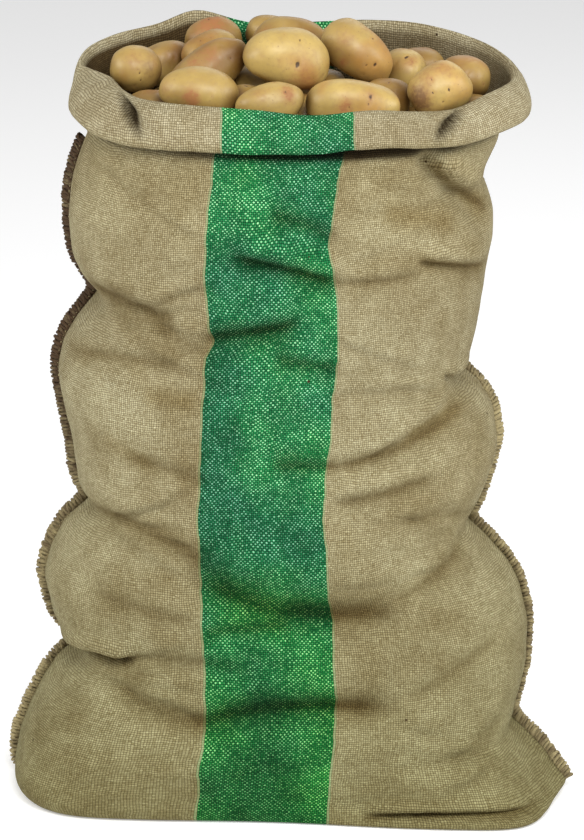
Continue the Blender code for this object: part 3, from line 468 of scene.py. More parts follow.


# Places on the front painted darker and browner, added to the hollows' painted shade. The columns
# are the folds' own, but the depth is how brown the place is, from 0 to 1.
BROWN_PLACES = (
    (0.080, 0.622, 0.118, 0.612, 0.165, 0.596, 1.0, 0.016, 0.018),
    (0.060, 0.566, 0.110, 0.572, 0.150, 0.566, 0.5, 0.012, 0.012),
    (-0.150, 0.437, -0.120, 0.434, -0.088, 0.432, 0.7, 0.009, 0.010),
    (-0.190, 0.388, -0.160, 0.376, -0.130, 0.366, 0.6, 0.010, 0.012),
    (0.105, 0.394, 0.140, 0.403, 0.175, 0.408, 0.8, 0.009, 0.010),
    (-0.170, 0.455, -0.130, 0.448, -0.080, 0.436, 0.4, 0.012, 0.012),
    (-0.180, 0.500, -0.140, 0.490, -0.100, 0.470, 0.5, 0.014, 0.012),
)


def crease_shade(x, height, front):
    """How deep in a crease and how far in a hollow the cloth lies, each from 0 to 1, as the painted shade it
    gets there.

    The creases are the folds again, narrower and all as strong, and the hollows are wider ones
    with the brown places.
    """
    folds = FRONT_FOLDS if front else BACK_FOLDS
    fine = fan_creases(21 if front else 22)
    creases = [(*row[:6], min(1.0, row[6] / 0.014), row[7] * 0.8, row[8] * 0.30) for row in folds]
    creases += [(*row[:6], row[6] * 70, row[7] * 0.9, row[8] * 0.7) for row in fine]
    hollows = [(*row[:6], min(1.0, row[6] / 0.013), row[7] * 1.6, row[8] * 0.9) for row in folds]
    hollows += BROWN_PLACES if front else ()
    return [fold_shape(x, height, rows, 0.0)[0].clip(0, 1) for rows in (creases, hollows)]


def store_points(mesh, name, values):
    """Keep a value, or a colour of four, for each point of a mesh, where a material can read it."""
    kind, field = ("FLOAT_COLOR", "color") if values.ndim > 1 else ("FLOAT", "value")
    mesh.attributes.new(name, kind, "POINT").data.foreach_set(field, values.astype(np.float32).ravel())


def smooth_all(mesh):
    """Shade every face of a mesh smooth."""
    mesh.polygons.foreach_set("use_smooth", np.ones(len(mesh.polygons), bool))


def cloth_side(share, front):
    """The grid of points of one side, from the fold under the base to the hem.

    The base is flat, the foot is a quarter circle, and the wall and the cuff follow on. Each row
    also has its climb, the way up the cloth. Each point has four looks from 0 to 1, all painted
    into the cloth's colour: the painted shade of its crease, the painted shade inside the sack,
    the painted shade of its hollow with the browner places, and the painted shadow of the cuff
    or of a pleat's slit.
    """
    tuck = np.linspace(1, 0, BASE_ROWS + 1)[:-1, None]
    flat = np.zeros_like(tuck) + 0 * share
    x, y, _ = body_point(share + 0 * flat, flat, front, draw_in=FOOT_RADIUS)
    across, _ = section_at(share + 0 * flat, flat)
    even_x = x[:, :1] + (x[:, -1:] - x[:, :1]) * (across + 1) / 2
    fold = -eased(flat, EAR_PULL) * np.clip(across, 0, 1) ** 3
    base = np.stack([even_x, fold + (y - fold) * (1 - tuck), flat], axis=2)
    turn = np.linspace(0, math.pi / 2, FOOT_ROWS + 1)[:-1, None]
    rise = FOOT_RADIUS * (1 - np.cos(turn)) + 0 * share
    x, y, _ = body_point(share + 0 * rise, rise, front, draw_in=FOOT_RADIUS * (1 - np.sin(turn)))
    foot = np.stack([x, y, rise], axis=2)
    low, high = np.linspace(FOOT_RADIUS, 0.036, 10), np.linspace(0.036, NECK_HEIGHT, 181)
    heights = np.concatenate([low[:-1], high[:-1]])
    rise = heights[:, None] + 0 * share
    wall = np.stack(body_point(share + 0 * rise, rise, front), axis=2)
    along, section = cuff_path(CUFF_ROWS)
    *cuff, pleat_slit_shadow = cuff_point(share[None, :], section, front)
    points = np.concatenate([base, foot, wall, np.stack(cuff, axis=2)])
    climb = np.concatenate([0 * tuck[:, 0], 0 * turn[:, 0], heights, NECK_HEIGHT + along])
    looks = np.zeros((*points.shape[:2], 4))
    painted_crease_shade, painted_hollow_shade = crease_shade(wall[:, :, 0], rise, front)
    wall_rows = slice(BASE_ROWS + FOOT_ROWS, BASE_ROWS + FOOT_ROWS + len(heights))
    looks[wall_rows, :, 0] = painted_crease_shade
    looks[wall_rows, :, 2] = painted_hollow_shade
    # Painted shadow under the cuff, strongest in the middle of the front; on the cuff itself the pleats'
    # slits are painted dark instead.
    middle_share = np.exp(-(((points[:, :, 0] - 0.04) / 0.135) ** 4))
    painted_cuff_shadow = ((points[:, :, 2] - COVERED_FROM) / 0.005 + 0.6 * middle_share).clip(0, 1)
    painted_cuff_shadow *= 0.55 + 0.45 * middle_share
    looks[:, :, 3] = painted_cuff_shadow
    looks[-CUFF_ROWS:, :, 3] = np.where(section[:, 2:3] > 0.1, painted_cuff_shadow[-CUFF_ROWS:], pleat_slit_shadow)
    # Painted shade inside the sack: full below the neck, weaker towards the rim and on the right, none on
    # the rolled cuff.
    looks[:, :, 1] = 1
    inside_painted_shade = np.clip(0.80 - 1.6 * cuff[0], 0.50, 1)
    looks[-CUFF_ROWS:, :, 1] = inside_painted_shade * np.clip(section[:, 2:3] / 0.20 + 0.50, 0, 1)
    looks[-CUFF_ROWS:, :, 1] *= section[:, 1:2] < 0.05
    return points, climb, looks


def thread_map(points, climb, share, front):
    """Cloth metres across and along at each point of a side.

    Across, threads are spaced evenly from the seam to the stripe, over the stripe, and on to the
    other seam. Along, each row lies as far up the cloth as the rows below it are apart.
    """
    across = np.zeros(points.shape[:2])
    for row, level in enumerate(climb):
        if front:
            left = np.interp(level, *np.array(STRIPE_COURSE).T[:2])
            right = np.interp(level, *np.array(STRIPE_COURSE).T[::2])
        else:
            start = np.array(STRIPE_COURSE[0][1:])
            blend = min(1.0, level / 0.12)
            left, right = start * (1 - blend) + np.array([-0.066, 0.042]) * blend
        edges = np.interp([left, right], np.sort(points[row, :, 0]), share)
        across[row] = np.interp(share, [0, *edges, 1], [0, STRIPE_FROM, STRIPE_TO, FLAT_WIDTH])
    steps = np.linalg.norm(np.diff(points, axis=0), axis=2).mean(axis=1)
    along = np.concatenate([[0], np.cumsum(steps)])[:, None] + 0 * across
    return np.stack([across, along if front else -along], axis=2)


def sack_cloth_mesh():
    """Front and back as two grids that share their side lines and the fold under the base.

    The front has twice as many columns as the back, so the first faces of the back's base, which
    lie along the fold, have five corners.
    """
    fine = np.linspace(0, 1, CLOTH_COLUMNS)
    front, climb, front_look = cloth_side(fine, True)
    back, _, back_look = cloth_side(fine[::2], False)
    rows, columns = front.shape[:2]
    front_index = np.arange(rows * columns).reshape(rows, columns)
    back_index = np.full(back.shape[:2], -1)
    back_index[:, 0] = front_index[:, 0]
    back_index[:, -1] = front_index[:, -1]
    back_index[0] = front_index[0, ::2]
    own = back_index < 0
    back_index[own] = rows * columns + np.arange(own.sum())
    points = np.concatenate([front.reshape(-1, 3), back[own]])
    looks = np.concatenate([front_look.reshape(-1, 4), back_look[own]])

    def quads(grid):
        return np.stack([grid[:-1, :-1], grid[:-1, 1:], grid[1:, 1:], grid[1:, :-1]], axis=2).reshape(-1, 4)

    def with_fold(grid, first):
        lower = np.stack([grid[0, :-1], grid[1, :-1], grid[1, 1:], grid[0, 1:], first], axis=1)
        return lower.tolist() + quads(grid[1:])[:, ::-1].tolist()

    faces = quads(front_index).tolist() + with_fold(back_index, front_index[0, 1::2])
    threads_front = thread_map(front, climb, fine, True).reshape(-1, 2)
    threads_back = thread_map(back, climb, fine[::2], False).reshape(-1, 2)
    back_count = len(threads_back)
    half = len(fine) // 2
    between = (threads_back[:half] + threads_back[1:half + 1]) / 2
    threads_back = np.concatenate([threads_back, between])
    back_grid = np.arange(back_count).reshape(back.shape[:2])
    back_corners = np.concatenate(with_fold(back_grid, back_count + np.arange(half)))
    corner_threads = np.concatenate([threads_front[quads(front_index).ravel()], threads_back[back_corners]])
    mesh = bpy.data.meshes.new("hessian_cloth")
    mesh.from_pydata(points, [], faces)
    threads = mesh.uv_layers.new(name="threads")
    threads.data.foreach_set("uv", corner_threads.astype(np.float32).ravel())
    store_points(mesh, "folds", looks)
    smooth_all(mesh)
    return mesh


class Wire:
    """A socket's output in a material. Its operators add Math nodes, and node() adds any other."""

    def __init__(self, tree, socket):
        self.tree = tree
        self.socket = socket

    def node(self, kind, settings=None, output=0, **values):
        made = self.tree.nodes.new(kind)
        for name, setting in (settings or {}).items():
            setattr(made, name, setting)
        for name, value in values.items():
            key = int(name[1:]) if name[1:].isdigit() else name.replace("_", " ")
            if isinstance(value, Wire):
                self.tree.links.new(value.socket, made.inputs[key])
            else:
                made.inputs[key].default_value = value
        return Wire(self.tree, made.outputs[output])

    def maths(self, operation, other=0.0):
        return self.node("ShaderNodeMath", {"operation": operation}, n0=self, n1=other)

    def __add__(self, other):
        return self.maths("ADD", other)

    __radd__ = __add__

    def __mul__(self, other):
        return self.maths("MULTIPLY", other)

    __rmul__ = __mul__

    def __sub__(self, other):
        return self.maths("SUBTRACT", other)

    def __rsub__(self, other):
        return (self * -1.0) + other

    def __gt__(self, other):
        return self.maths("GREATER_THAN", other)

    def __lt__(self, other):
        return self.maths("LESS_THAN", other)

    def held(self):
        """This value kept between 0 and 1."""
        return self.maths("MAXIMUM", 0.0).maths("MINIMUM", 1.0)

    def times(self, other):
        """This colour multiplied by another."""
        settings = {"data_type": "RGBA", "blend_type": "MULTIPLY"}
        return self.node("ShaderNodeMix", settings, output=2, n0=1.0, n6=self, n7=other)

    def tinted(self, low, high):
        """A colour between two others, by this value from 0 to 1."""
        return self.node("ShaderNodeMix", {"data_type": "RGBA"}, output=2, n0=self, n6=low, n7=high)

    def filtered(self, amount, red, green, blue):
        """This colour, multiplied by another as far as the amount from 0 to 1 says."""
        return self.times(amount.tinted((1, 1, 1, 1), (red, green, blue, 1)))

    def noise(self, scale, detail, **settings):
        """Cloudy noise from 0 to 1 at this place, in space unless noise_dimensions says otherwise."""
        return self.node("ShaderNodeTexNoise", settings, Vector=self, Scale=scale, Detail=detail)

    def channel(self, index):
        """Another output of this value's node."""
        return Wire(self.tree, self.socket.node.outputs[index])

    def feeds(self, shader, name):
        """Link this value to one of the shader's inputs."""
        self.tree.links.new(self.socket, shader.inputs[name])


def new_material(name, roughness):
    """A material, its Principled shader, and a Wire to start its maths from."""
    made = bpy.data.materials.new(name)
    made.use_nodes = True
    shader = made.node_tree.nodes["Principled BSDF"]
    shader.inputs["Roughness"].default_value = roughness
    return made, shader, Wire(made.node_tree, None)


def hessian_material(name, inside):
    """Plain-woven jute: a dome of yarn over every crossing, warp and weft in turn.

    The product of the two threads' sines is positive where the warp lies on top and negative
    where the weft does. The yarn's height is the two sines' sizes, each to a power, and the
    greater power is the one across the thread on top, so that each dome is a little longer
    along its thread. In the stripe the warp is dyed, and the tops of the paler weft's domes show
    as small mint dots, partly the weft's own colour and partly a painted highlight.
    """
    made, shader, start = new_material(name, 0.92)
    shader.inputs["Specular IOR Level"].default_value = 0.12
    place = start.node("ShaderNodeUVMap", {"uv_map": "threads"})
    across = place.node("ShaderNodeSeparateXYZ", n0=place)
    along = across.channel(1)
    drift = place.noise(34.0, 3.0, noise_dimensions="2D").channel(1)
    drift_a = start.node("ShaderNodeSeparateColor", n0=drift)
    drift_b = drift_a.channel(1)
    warp = across * (1 / YARN_PITCH) + (drift_a - 0.5) * 2.2
    weft = along * (1 / YARN_PITCH) + (drift_b - 0.5) * 2.6
    side_a = (warp * math.pi).maths("SINE")
    side_b = (weft * math.pi).maths("SINE")
    warp_up = (side_a * side_b) > 0.0
    side_a = side_a.maths("ABSOLUTE")
    side_b = side_b.maths("ABSOLUTE")
    height = side_a.maths("POWER", 0.45 + 0.40 * warp_up) * side_b.maths("POWER", 0.85 - 0.40 * warp_up)
    warp_number = warp.maths("FLOOR")
    weft_number = weft.maths("FLOOR")
    warp_tone = start.node("ShaderNodeTexWhiteNoise", {"noise_dimensions": "1D"}, W=warp_number)
    weft_tone = start.node("ShaderNodeTexWhiteNoise", {"noise_dimensions": "1D"}, W=weft_number + 71.5)
    slub_place = start.node("ShaderNodeCombineXYZ", X=warp_number * 3.7, Y=along * 105.0)
    warp_slub = slub_place.noise(1.0, 2.0, noise_dimensions="2D")
    slub_place = start.node("ShaderNodeCombineXYZ", X=across * 80.0, Y=weft_number * 3.7)
    weft_slub = slub_place.noise(1.0, 2.0, noise_dimensions="2D")
    crossing_place = start.node("ShaderNodeCombineXYZ", X=warp_number, Y=weft_number)
    crossing = start.node("ShaderNodeTexWhiteNoise", {"noise_dimensions": "2D"}, Vector=crossing_place)
    warp_part = warp_tone * 0.12 + (warp_slub - 0.5) * 0.7 + crossing * 0.42 + 0.20
    weft_part = weft_tone * 0.12 + (weft_slub - 0.5) * 0.8 + crossing * 0.42 + 0.26
    tone = (warp_up * warp_part + (1 - warp_up) * weft_part).held()
    folds = start.node("ShaderNodeAttribute", {"attribute_name": "folds"})
    painted_crease_shade = start.node("ShaderNodeSeparateColor", n0=folds)
    within = painted_crease_shade.channel(1)
    painted_hollow_shade = painted_crease_shade.channel(2)
    painted_cuff_shadow = folds.channel(3)
    painted_cuff_shadow = painted_cuff_shadow * (within < 0.02) if inside else painted_cuff_shadow
    body = start.node("ShaderNodeTexCoord", output=3)
    height_up = start.node("ShaderNodeSeparateXYZ", output=2, n0=body)
    cloud = body.noise(9.0, 4.0)
    dust = body.noise(34.0, 3.0)

    natural = tone.tinted((0.235, 0.190, 0.090, 1), (0.575, 0.525, 0.330, 1))
    natural = (height * 1.40 + 0.02).held().tinted((0.100, 0.074, 0.032, 1), natural)
    # Painted light and shade: the cuff a little lighter than the body below it, the upper body darker and
    # yellower, and the cloth darker and warmer towards the bottom.
    body_part = (height_up * -60.0 + 41.6).held()
    natural = natural.filtered(body_part, 0.93, 0.94, 0.94)
    upper_painted_shade = (height_up * 6.0 - 2.9).held() * body_part
    natural = natural.filtered(upper_painted_shade, 0.93, 0.90, 0.80)
    low_painted_shade = (1 - height_up * 3.0).held()
    natural = natural.filtered(low_painted_shade, 0.66, 0.67, 0.54)
    bluer = (cloud * 3.0 - 1.2).held()
    dyed = tone.tinted((0.002, 0.085, 0.026, 1), (0.014, 0.290, 0.075, 1))
    dyed = (height * 1.5 - 0.05).held().tinted((0.0005, 0.020, 0.008, 1), dyed)
    # The paler weft's dome tops in the stripe, partly its own colour and partly a painted highlight.
    weft_pale_and_highlight = tone.tinted((0.050, 0.350, 0.110, 1), (0.390, 0.880, 0.450, 1))
    weft_dot_and_highlight = ((height - 0.36) * 2.6).held() * (1 - warp_up) * (0.15 + crossing * 1.0 + (dust - 0.5) * 0.8)
    green = weft_dot_and_highlight.held().tinted(dyed, weft_pale_and_highlight)
    green = green.times(bluer.tinted((0.66, 0.70, 0.98, 1), (1.16, 1.10, 0.86, 1)))
    # Painted light and shade: the green brighter higher up, and darker and yellower towards the bottom.
    green = green.filtered((height_up * 2.4 - 0.8).held(), 1.26, 1.16, 1.02)
    green = green.filtered(low_painted_shade, 0.70, 0.83, 0.42)
    first = STRIPE_FROM / YARN_PITCH
    last = STRIPE_TO / YARN_PITCH
    in_stripe = (warp_number > first - 0.5) * (warp_number < last - 0.5)
    fringe = (warp_number > first - 1.5) * (warp_number < last + 0.5)
    natural = (fringe * (0.20 + height * 0.3)).tinted(natural, (0.250, 0.420, 0.200, 1))
    yarn = in_stripe.tinted(natural, green)

    shade = ((cloud - 0.5) * 1.9 + (dust - 0.5) * 1.1 + 0.64).held()
    toned = yarn.times(shade.tinted((0.62, 0.54, 0.41, 1), (1.11, 1.11, 1.10, 1)))
    # Painted light: the upper parts a little bluer.
    toned = toned.filtered((height_up * 2.5 - 0.9).held(), 1.0, 1.0, 1.10)
    # Painted shade: darker in the creases and the hollows, inside the sack, and nearly black under the cuff
    # and in the pleats' slits.
    painted_crease_dark = painted_crease_shade * (0.55 + cloud * 0.6)
    if inside:
        toned = toned.filtered(within, 0.21, 0.155, 0.095)
        painted_crease_dark = painted_crease_dark * (within < 0.02)
    else:
        toned = toned.filtered(painted_hollow_shade.held(), 0.70, 0.63, 0.50)
    toned = toned.filtered(painted_crease_dark.held(), 0.47, 0.40, 0.29)
    toned = toned.filtered(painted_cuff_shadow, 0.08, 0.06, 0.035)
    specks = start.node("ShaderNodeTexVoronoi", Vector=body, Scale=62.0)
    chosen = start.node("ShaderNodeSeparateColor", n0=specks.channel(1)) > 0.962
    toned = ((specks < 0.085) * chosen).tinted(toned, (0.045, 0.026, 0.010, 1))
    toned.feeds(shader, "Base Color")
    rumple = place.noise(52.0, 3.0, noise_dimensions="2D")
    relief = height * 0.7 + tone * 0.35 + rumple * 1.9
    bump = start.node("ShaderNodeBump", Strength=0.8, Distance=0.0011, Height=relief)
    bump.feeds(shader, "Normal")
    return made


YARN_PITCH = 0.00212
cloth_mesh = sack_cloth_mesh()
cloth_mesh.materials.append(hessian_material("hessian_weave", False))
cloth_mesh.materials.append(hessian_material("hessian_weave_inside", True))
sack_cloth = bpy.data.objects.new("hessian_cloth", cloth_mesh)
scene.collection.objects.link(sack_cloth)
cloth_wall = sack_cloth.modifiers.new("cloth_thickness", "SOLIDIFY")
cloth_wall.thickness = CLOTH_THICKNESS
cloth_wall.offset = -1
cloth_wall.use_even_offset = False
cloth_wall.material_offset = 1
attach(sack_cloth, "root")
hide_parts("sack_cloth")


# The side seams: the two raw edges of the cloth, laid together and bound with one coarse jute
# yarn that winds round them over and over, with a straight line of stitches at their root.
SEAM_BOTTOM = 0.008
SEAM_TOP = 0.660
SEAM_WIDTH = 0.0088
SEAM_THICKNESS = 0.0036
OVERLOCK_PITCH = 0.0036
OVERLOCK_YARN = 0.00160
CROSSING_PITCH = 0.0078
STITCH_PITCH = 0.0068
STITCH_YARN = 0.00065
STRIP_ROWS = 420
STRIP_SIDES = 12
YARN_STEPS = 14
YARN_SIDES = 6
STITCH_STEPS = 7
# Columns: height, how far the left and the right seam turn towards the front in degrees, how far
# back on the cloth each one sits, and how dark the left and the right seam are painted, partly the
# yarn's own darker colour and partly painted shade where the seam lies in shadow.
SEAM_COURSE = (
    (0.000, 25, -4, 0.000, 0.000, 0.25, 0.50), (0.030, 28, 8, 0.000, 0.000, 0.25, 0.45),
    (0.060, 30, 30, 0.000, 0.000, 0.20, 0.45), (0.090, 30, 42, 0.000, 0.000, 0.20, 0.40),
    (0.130, 25, 48, 0.000, 0.000, 0.30, 0.45), (0.160, 20, 49, 0.000, 0.000, 0.20, 0.45),
    (0.220, 5, 50, 0.000, 0.000, 0.30, 0.40), (0.270, -10, 20, 0.000, 0.000, 0.50, 0.45),
    (0.310, -20, -20, 0.002, 0.006, 0.40, 0.10), (0.360, -26, -42, 0.004, 0.018, 0.70, 0.15),
    (0.420, -30, -60, 0.006, 0.034, 1.00, 0.45), (0.480, -36, -72, 0.008, 0.042, 1.10, 0.60),
    (0.520, -40, -80, 0.010, 0.048, 1.10, 0.60), (0.640, -45, -80, 0.012, 0.052, 1.10, 0.60),
)


def cloth_beside(height, back, side):
    """The place on the cloth at each height that lies the given way back from its side line."""
    share = np.linspace(0, 0.35, 141)[None, :]
    share = share if side < 0 else 1 - share
    rows = np.arange(len(height))
    places = []
    for front in (True, False):
        walls = body_point(share, height[:, None], front)
        reach = np.abs(walls[1] - walls[1][:, :1])
        past = np.argmax(reach >= np.abs(back)[:, None], axis=1).clip(1)
        step = reach[rows, past] - reach[rows, past - 1]
        part = ((np.abs(back) - reach[rows, past - 1]) / np.maximum(step, 1e-9)).clip(0, 1)
        place = [wall[rows, past - 1] * (1 - part) + wall[rows, past] * part for wall in walls]
        places.append(np.stack(place, axis=1))
    return np.where((back < 0)[:, None], places[0], places[1])


def seam_rail(side):
    """Length along a seam, and there its root, outward, flat and onward directions and its darkness, partly
    yarn colour and partly painted shade.

    The root's course is evened out over about a centimetre, because a seam is stiffer than cloth.
    """
    height = np.linspace(SEAM_BOTTOM, SEAM_TOP, 500)
    turn, back, yarn_dark_and_shade = (eased(height, SEAM_COURSE, column + (side > 0), soften=0.03) for column in (1, 3, 5))
    turn = np.radians(turn + 9 * soft_noise(height, 0 * height, 0.040, 1.0, 7 + side))
    root = cloth_beside(height, back, side)
    weights = np.exp(-0.5 * (np.arange(-12, 13) / 5) ** 2)
    weights /= weights.sum()
    padded = [np.pad(part, 12, mode="edge") for part in root.T]
    root = np.stack([np.convolve(part, weights, mode="valid") for part in padded], axis=1)
    along = np.concatenate([[0], np.cumsum(np.linalg.norm(np.diff(root, axis=0), axis=1))])
    run = np.gradient(root, axis=0)
    run /= np.linalg.norm(run, axis=1)[:, None]
    out = np.stack([side * np.cos(turn), -np.sin(turn), 0 * turn], axis=1)
    out -= run * (out * run).sum(axis=1)[:, None]
    out /= np.linalg.norm(out, axis=1)[:, None]
    return along, root, out, np.cross(run, out), run, yarn_dark_and_shade[:, None]


def rail_at(rail, length):
    """The rail's places and directions at the given lengths, by straight lines between its rows."""
    along = rail[0]
    return [np.stack([np.interp(length, along, part) for part in field.T], axis=-1) for field in rail[1:]]


def yarn_tubes(paths, radius, reference, around):
    """Round yarns along paths, as rings of points square to each path and the faces between them.

    A ring's point is the path's place plus the radius times cos and sin of its angle along two
    directions, both square to the path and worked out from the reference direction.
    """
    run = np.gradient(paths, axis=1)
    run /= np.linalg.norm(run, axis=2, keepdims=True)
    beside = np.cross(run, reference)
    beside /= np.linalg.norm(beside, axis=2, keepdims=True)
    up = np.cross(beside, run)
    angle = np.linspace(0, 2 * math.pi, around, endpoint=False)[:, None]
    rings = np.cos(angle) * beside[:, :, None] + np.sin(angle) * up[:, :, None]
    points = (paths[:, :, None] + radius[:, :, None, None] * rings).reshape(-1, 3)
    grid = np.arange(len(points)).reshape(*paths.shape[:2], around)
    after = np.roll(grid, -1, axis=2)
    sides = np.stack([grid[:, :-1], after[:, :-1], after[:, 1:], grid[:, 1:]], axis=3).reshape(-1, 4)
    return points, sides.tolist() + grid[:, 0, ::-1].tolist() + grid[:, -1].tolist()


def seam_piece(name, side):
    """One seam: the cloth's edges as a flat rounded strip, the binding yarn and the root's stitches."""
    chance = np.random.default_rng(12 + side)
    rail = seam_rail(side)
    total = rail[0][-1]
    parts = []

    length = np.linspace(0, total, STRIP_ROWS)
    root, out, flat, _, yarn_dark_and_shade = rail_at(rail, length)
    wide = SEAM_WIDTH * (1.03 + 0.07 * soft_noise(length, 0 * length, 0.007, 1.0, 14 + side))[:, None, None]
    wide = wide * (1 + 0.16 * yarn_dark_and_shade[:, :, None].clip(0, 1))
    angle = np.linspace(0, 2 * math.pi, STRIP_SIDES, endpoint=False)[None, :, None]
    reach = wide * 0.5 * (1 + np.sign(np.cos(angle)) * np.abs(np.cos(angle)) ** 0.8) - 0.0012
    thick = SEAM_THICKNESS * 0.5 * np.sign(np.sin(angle)) * np.abs(np.sin(angle)) ** 0.6
    strip = root[:, None] + out[:, None] * reach + flat[:, None] * thick
    grid = np.arange(STRIP_ROWS * STRIP_SIDES).reshape(STRIP_ROWS, STRIP_SIDES)
    after = np.roll(grid, -1, axis=1)
    faces = np.stack([grid[:-1], after[:-1], after[1:], grid[1:]], axis=2).reshape(-1, 4).tolist()
    faces += [grid[0, ::-1].tolist(), grid[-1].tolist()]
    parts.append((strip.reshape(-1, 3), faces, np.repeat(yarn_dark_and_shade * 0.9, STRIP_SIDES)))

    for pitch, yarn, hand in ((OVERLOCK_PITCH, OVERLOCK_YARN, 1), (CROSSING_PITCH, OVERLOCK_YARN * 0.8, -1)):
        turns = int(total / pitch)
        turn = np.linspace(0, turns, turns * YARN_STEPS + 1)
        uneven = 0.42 * soft_noise(turn, 0 * turn, 1.7, 1.0, 16 + side + hand)
        root, out, flat, run, yarn_dark_and_shade = rail_at(rail, (turn + uneven) * total / turns)
        angle = (turn * 2 * math.pi * hand)[:, None]
        loose = (1 + 0.10 * soft_noise(turn, 0 * turn, 0.8, 1.0, 18 + side + hand))[:, None]
        swing = 0.5 * (1 + np.sign(np.cos(angle)) * np.abs(np.cos(angle)) ** 0.75 * loose)
        edge = (1.03 + 0.10 * soft_noise(turn, 0 * turn, 2.5, 1.0, 30 + side))[:, None]
        edge = edge * (1 + 0.16 * yarn_dark_and_shade.clip(0, 1))
        reach = SEAM_WIDTH * edge * swing - 0.0006
        thick = SEAM_THICKNESS * 0.5 + yarn * (0.55 if hand > 0 else 1.1)
        thick = thick * np.sign(np.sin(angle)) * np.abs(np.sin(angle)) ** 0.6 * loose
        path = root + out * reach + flat * thick + run * pitch * 0.25 * np.cos(angle)
        swell = 1 + 0.32 * soft_noise(turn, 0 * turn, 0.35, 1.0, 20 + side + hand)
        points, faces = yarn_tubes(path[None], (yarn * swell)[None], run[None], YARN_SIDES)
        tone = yarn_dark_and_shade[:, 0] + 0.26 * soft_noise(turn, 0 * turn, 0.5, 1.0, 22 + side + hand)
        tone += 0.26 * soft_noise(turn, 0 * turn, 6.0, 1.0, 26 + side)
        parts.append((points, faces, np.repeat(tone, YARN_SIDES)))

    for face in (-1, 1):
        stitches = int(total / STITCH_PITCH)
        middle = (np.arange(stitches) + 0.5) * STITCH_PITCH + chance.uniform(-0.0005, 0.0005, stitches)
        within = np.linspace(-0.42, 0.42, STITCH_STEPS) * STITCH_PITCH
        root, out, flat, *_ = rail_at(rail, (middle[:, None] + within).clip(0, total))
        arch = 0.0006 * np.cos(within / STITCH_PITCH / 0.84 * math.pi)[None, :, None]
        path = root + out * 0.0008 + flat * face * (SEAM_THICKNESS * 0.5 + arch)
        taper = STITCH_YARN * (1 - 0.5 * (within / within[-1]) ** 4)[None] * np.ones((stitches, 1))
        points, faces = yarn_tubes(path, taper, out, YARN_SIDES)
        tone = np.repeat(chance.uniform(-0.3, 0.1, stitches), STITCH_STEPS * YARN_SIDES)
        parts.append((points, faces, tone))

    points = np.concatenate([part[0] for part in parts])
    starts = np.cumsum([0] + [len(part[0]) for part in parts])
    faces = [[corner + start for corner in face] for part, start in zip(parts, starts) for face in part[1]]
    mesh = bpy.data.meshes.new(name)
    mesh.from_pydata(points, [], faces)
    store_points(mesh, "yarn_dark_and_shade", np.concatenate([part[2] for part in parts]))
    smooth_all(mesh)
    piece = bpy.data.objects.new(name, mesh)
    scene.collection.objects.link(piece)
    return piece


def seam_yarn_material():
    """Coarse jute yarn: tan to dark brown by the mesh's darkness, which is partly the yarn's colour and
    partly painted shade, with fine fibres and fuzz.
    """
    made, shader, start = new_material("seam_yarn", 0.9)
    yarn_dark_and_shade = start.node("ShaderNodeAttribute", {"attribute_name": "yarn_dark_and_shade"}, output=2)
    body = start.node("ShaderNodeTexCoord", output=3)
    blotch = body.noise(110.0, 2.0)
    fibre = body.noise(900.0, 2.0)
    depth = (yarn_dark_and_shade * 0.95 + (blotch - 0.5) * 1.3 + 0.04).held()
    colour = depth.tinted((0.375, 0.320, 0.170, 1), (0.060, 0.031, 0.010, 1))
    strands = ((fibre - 0.5) * 1.2 + 0.6).tinted((0.45, 0.42, 0.38, 1), (1.15, 1.12, 1.05, 1))
    colour.times(strands).feeds(shader, "Base Color")
    bump = start.node("ShaderNodeBump", Strength=0.6, Distance=0.0006, Height=fibre)
    bump.feeds(shader, "Normal")
    return made


seam_yarn = seam_yarn_material()
for seam_name, seam_side in (("seam_left", -1), ("seam_right", 1)):
    seam = seam_piece(seam_name + "_binding", seam_side)
    seam.data.materials.append(seam_yarn)
    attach(seam, "root")
    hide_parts(seam_name)

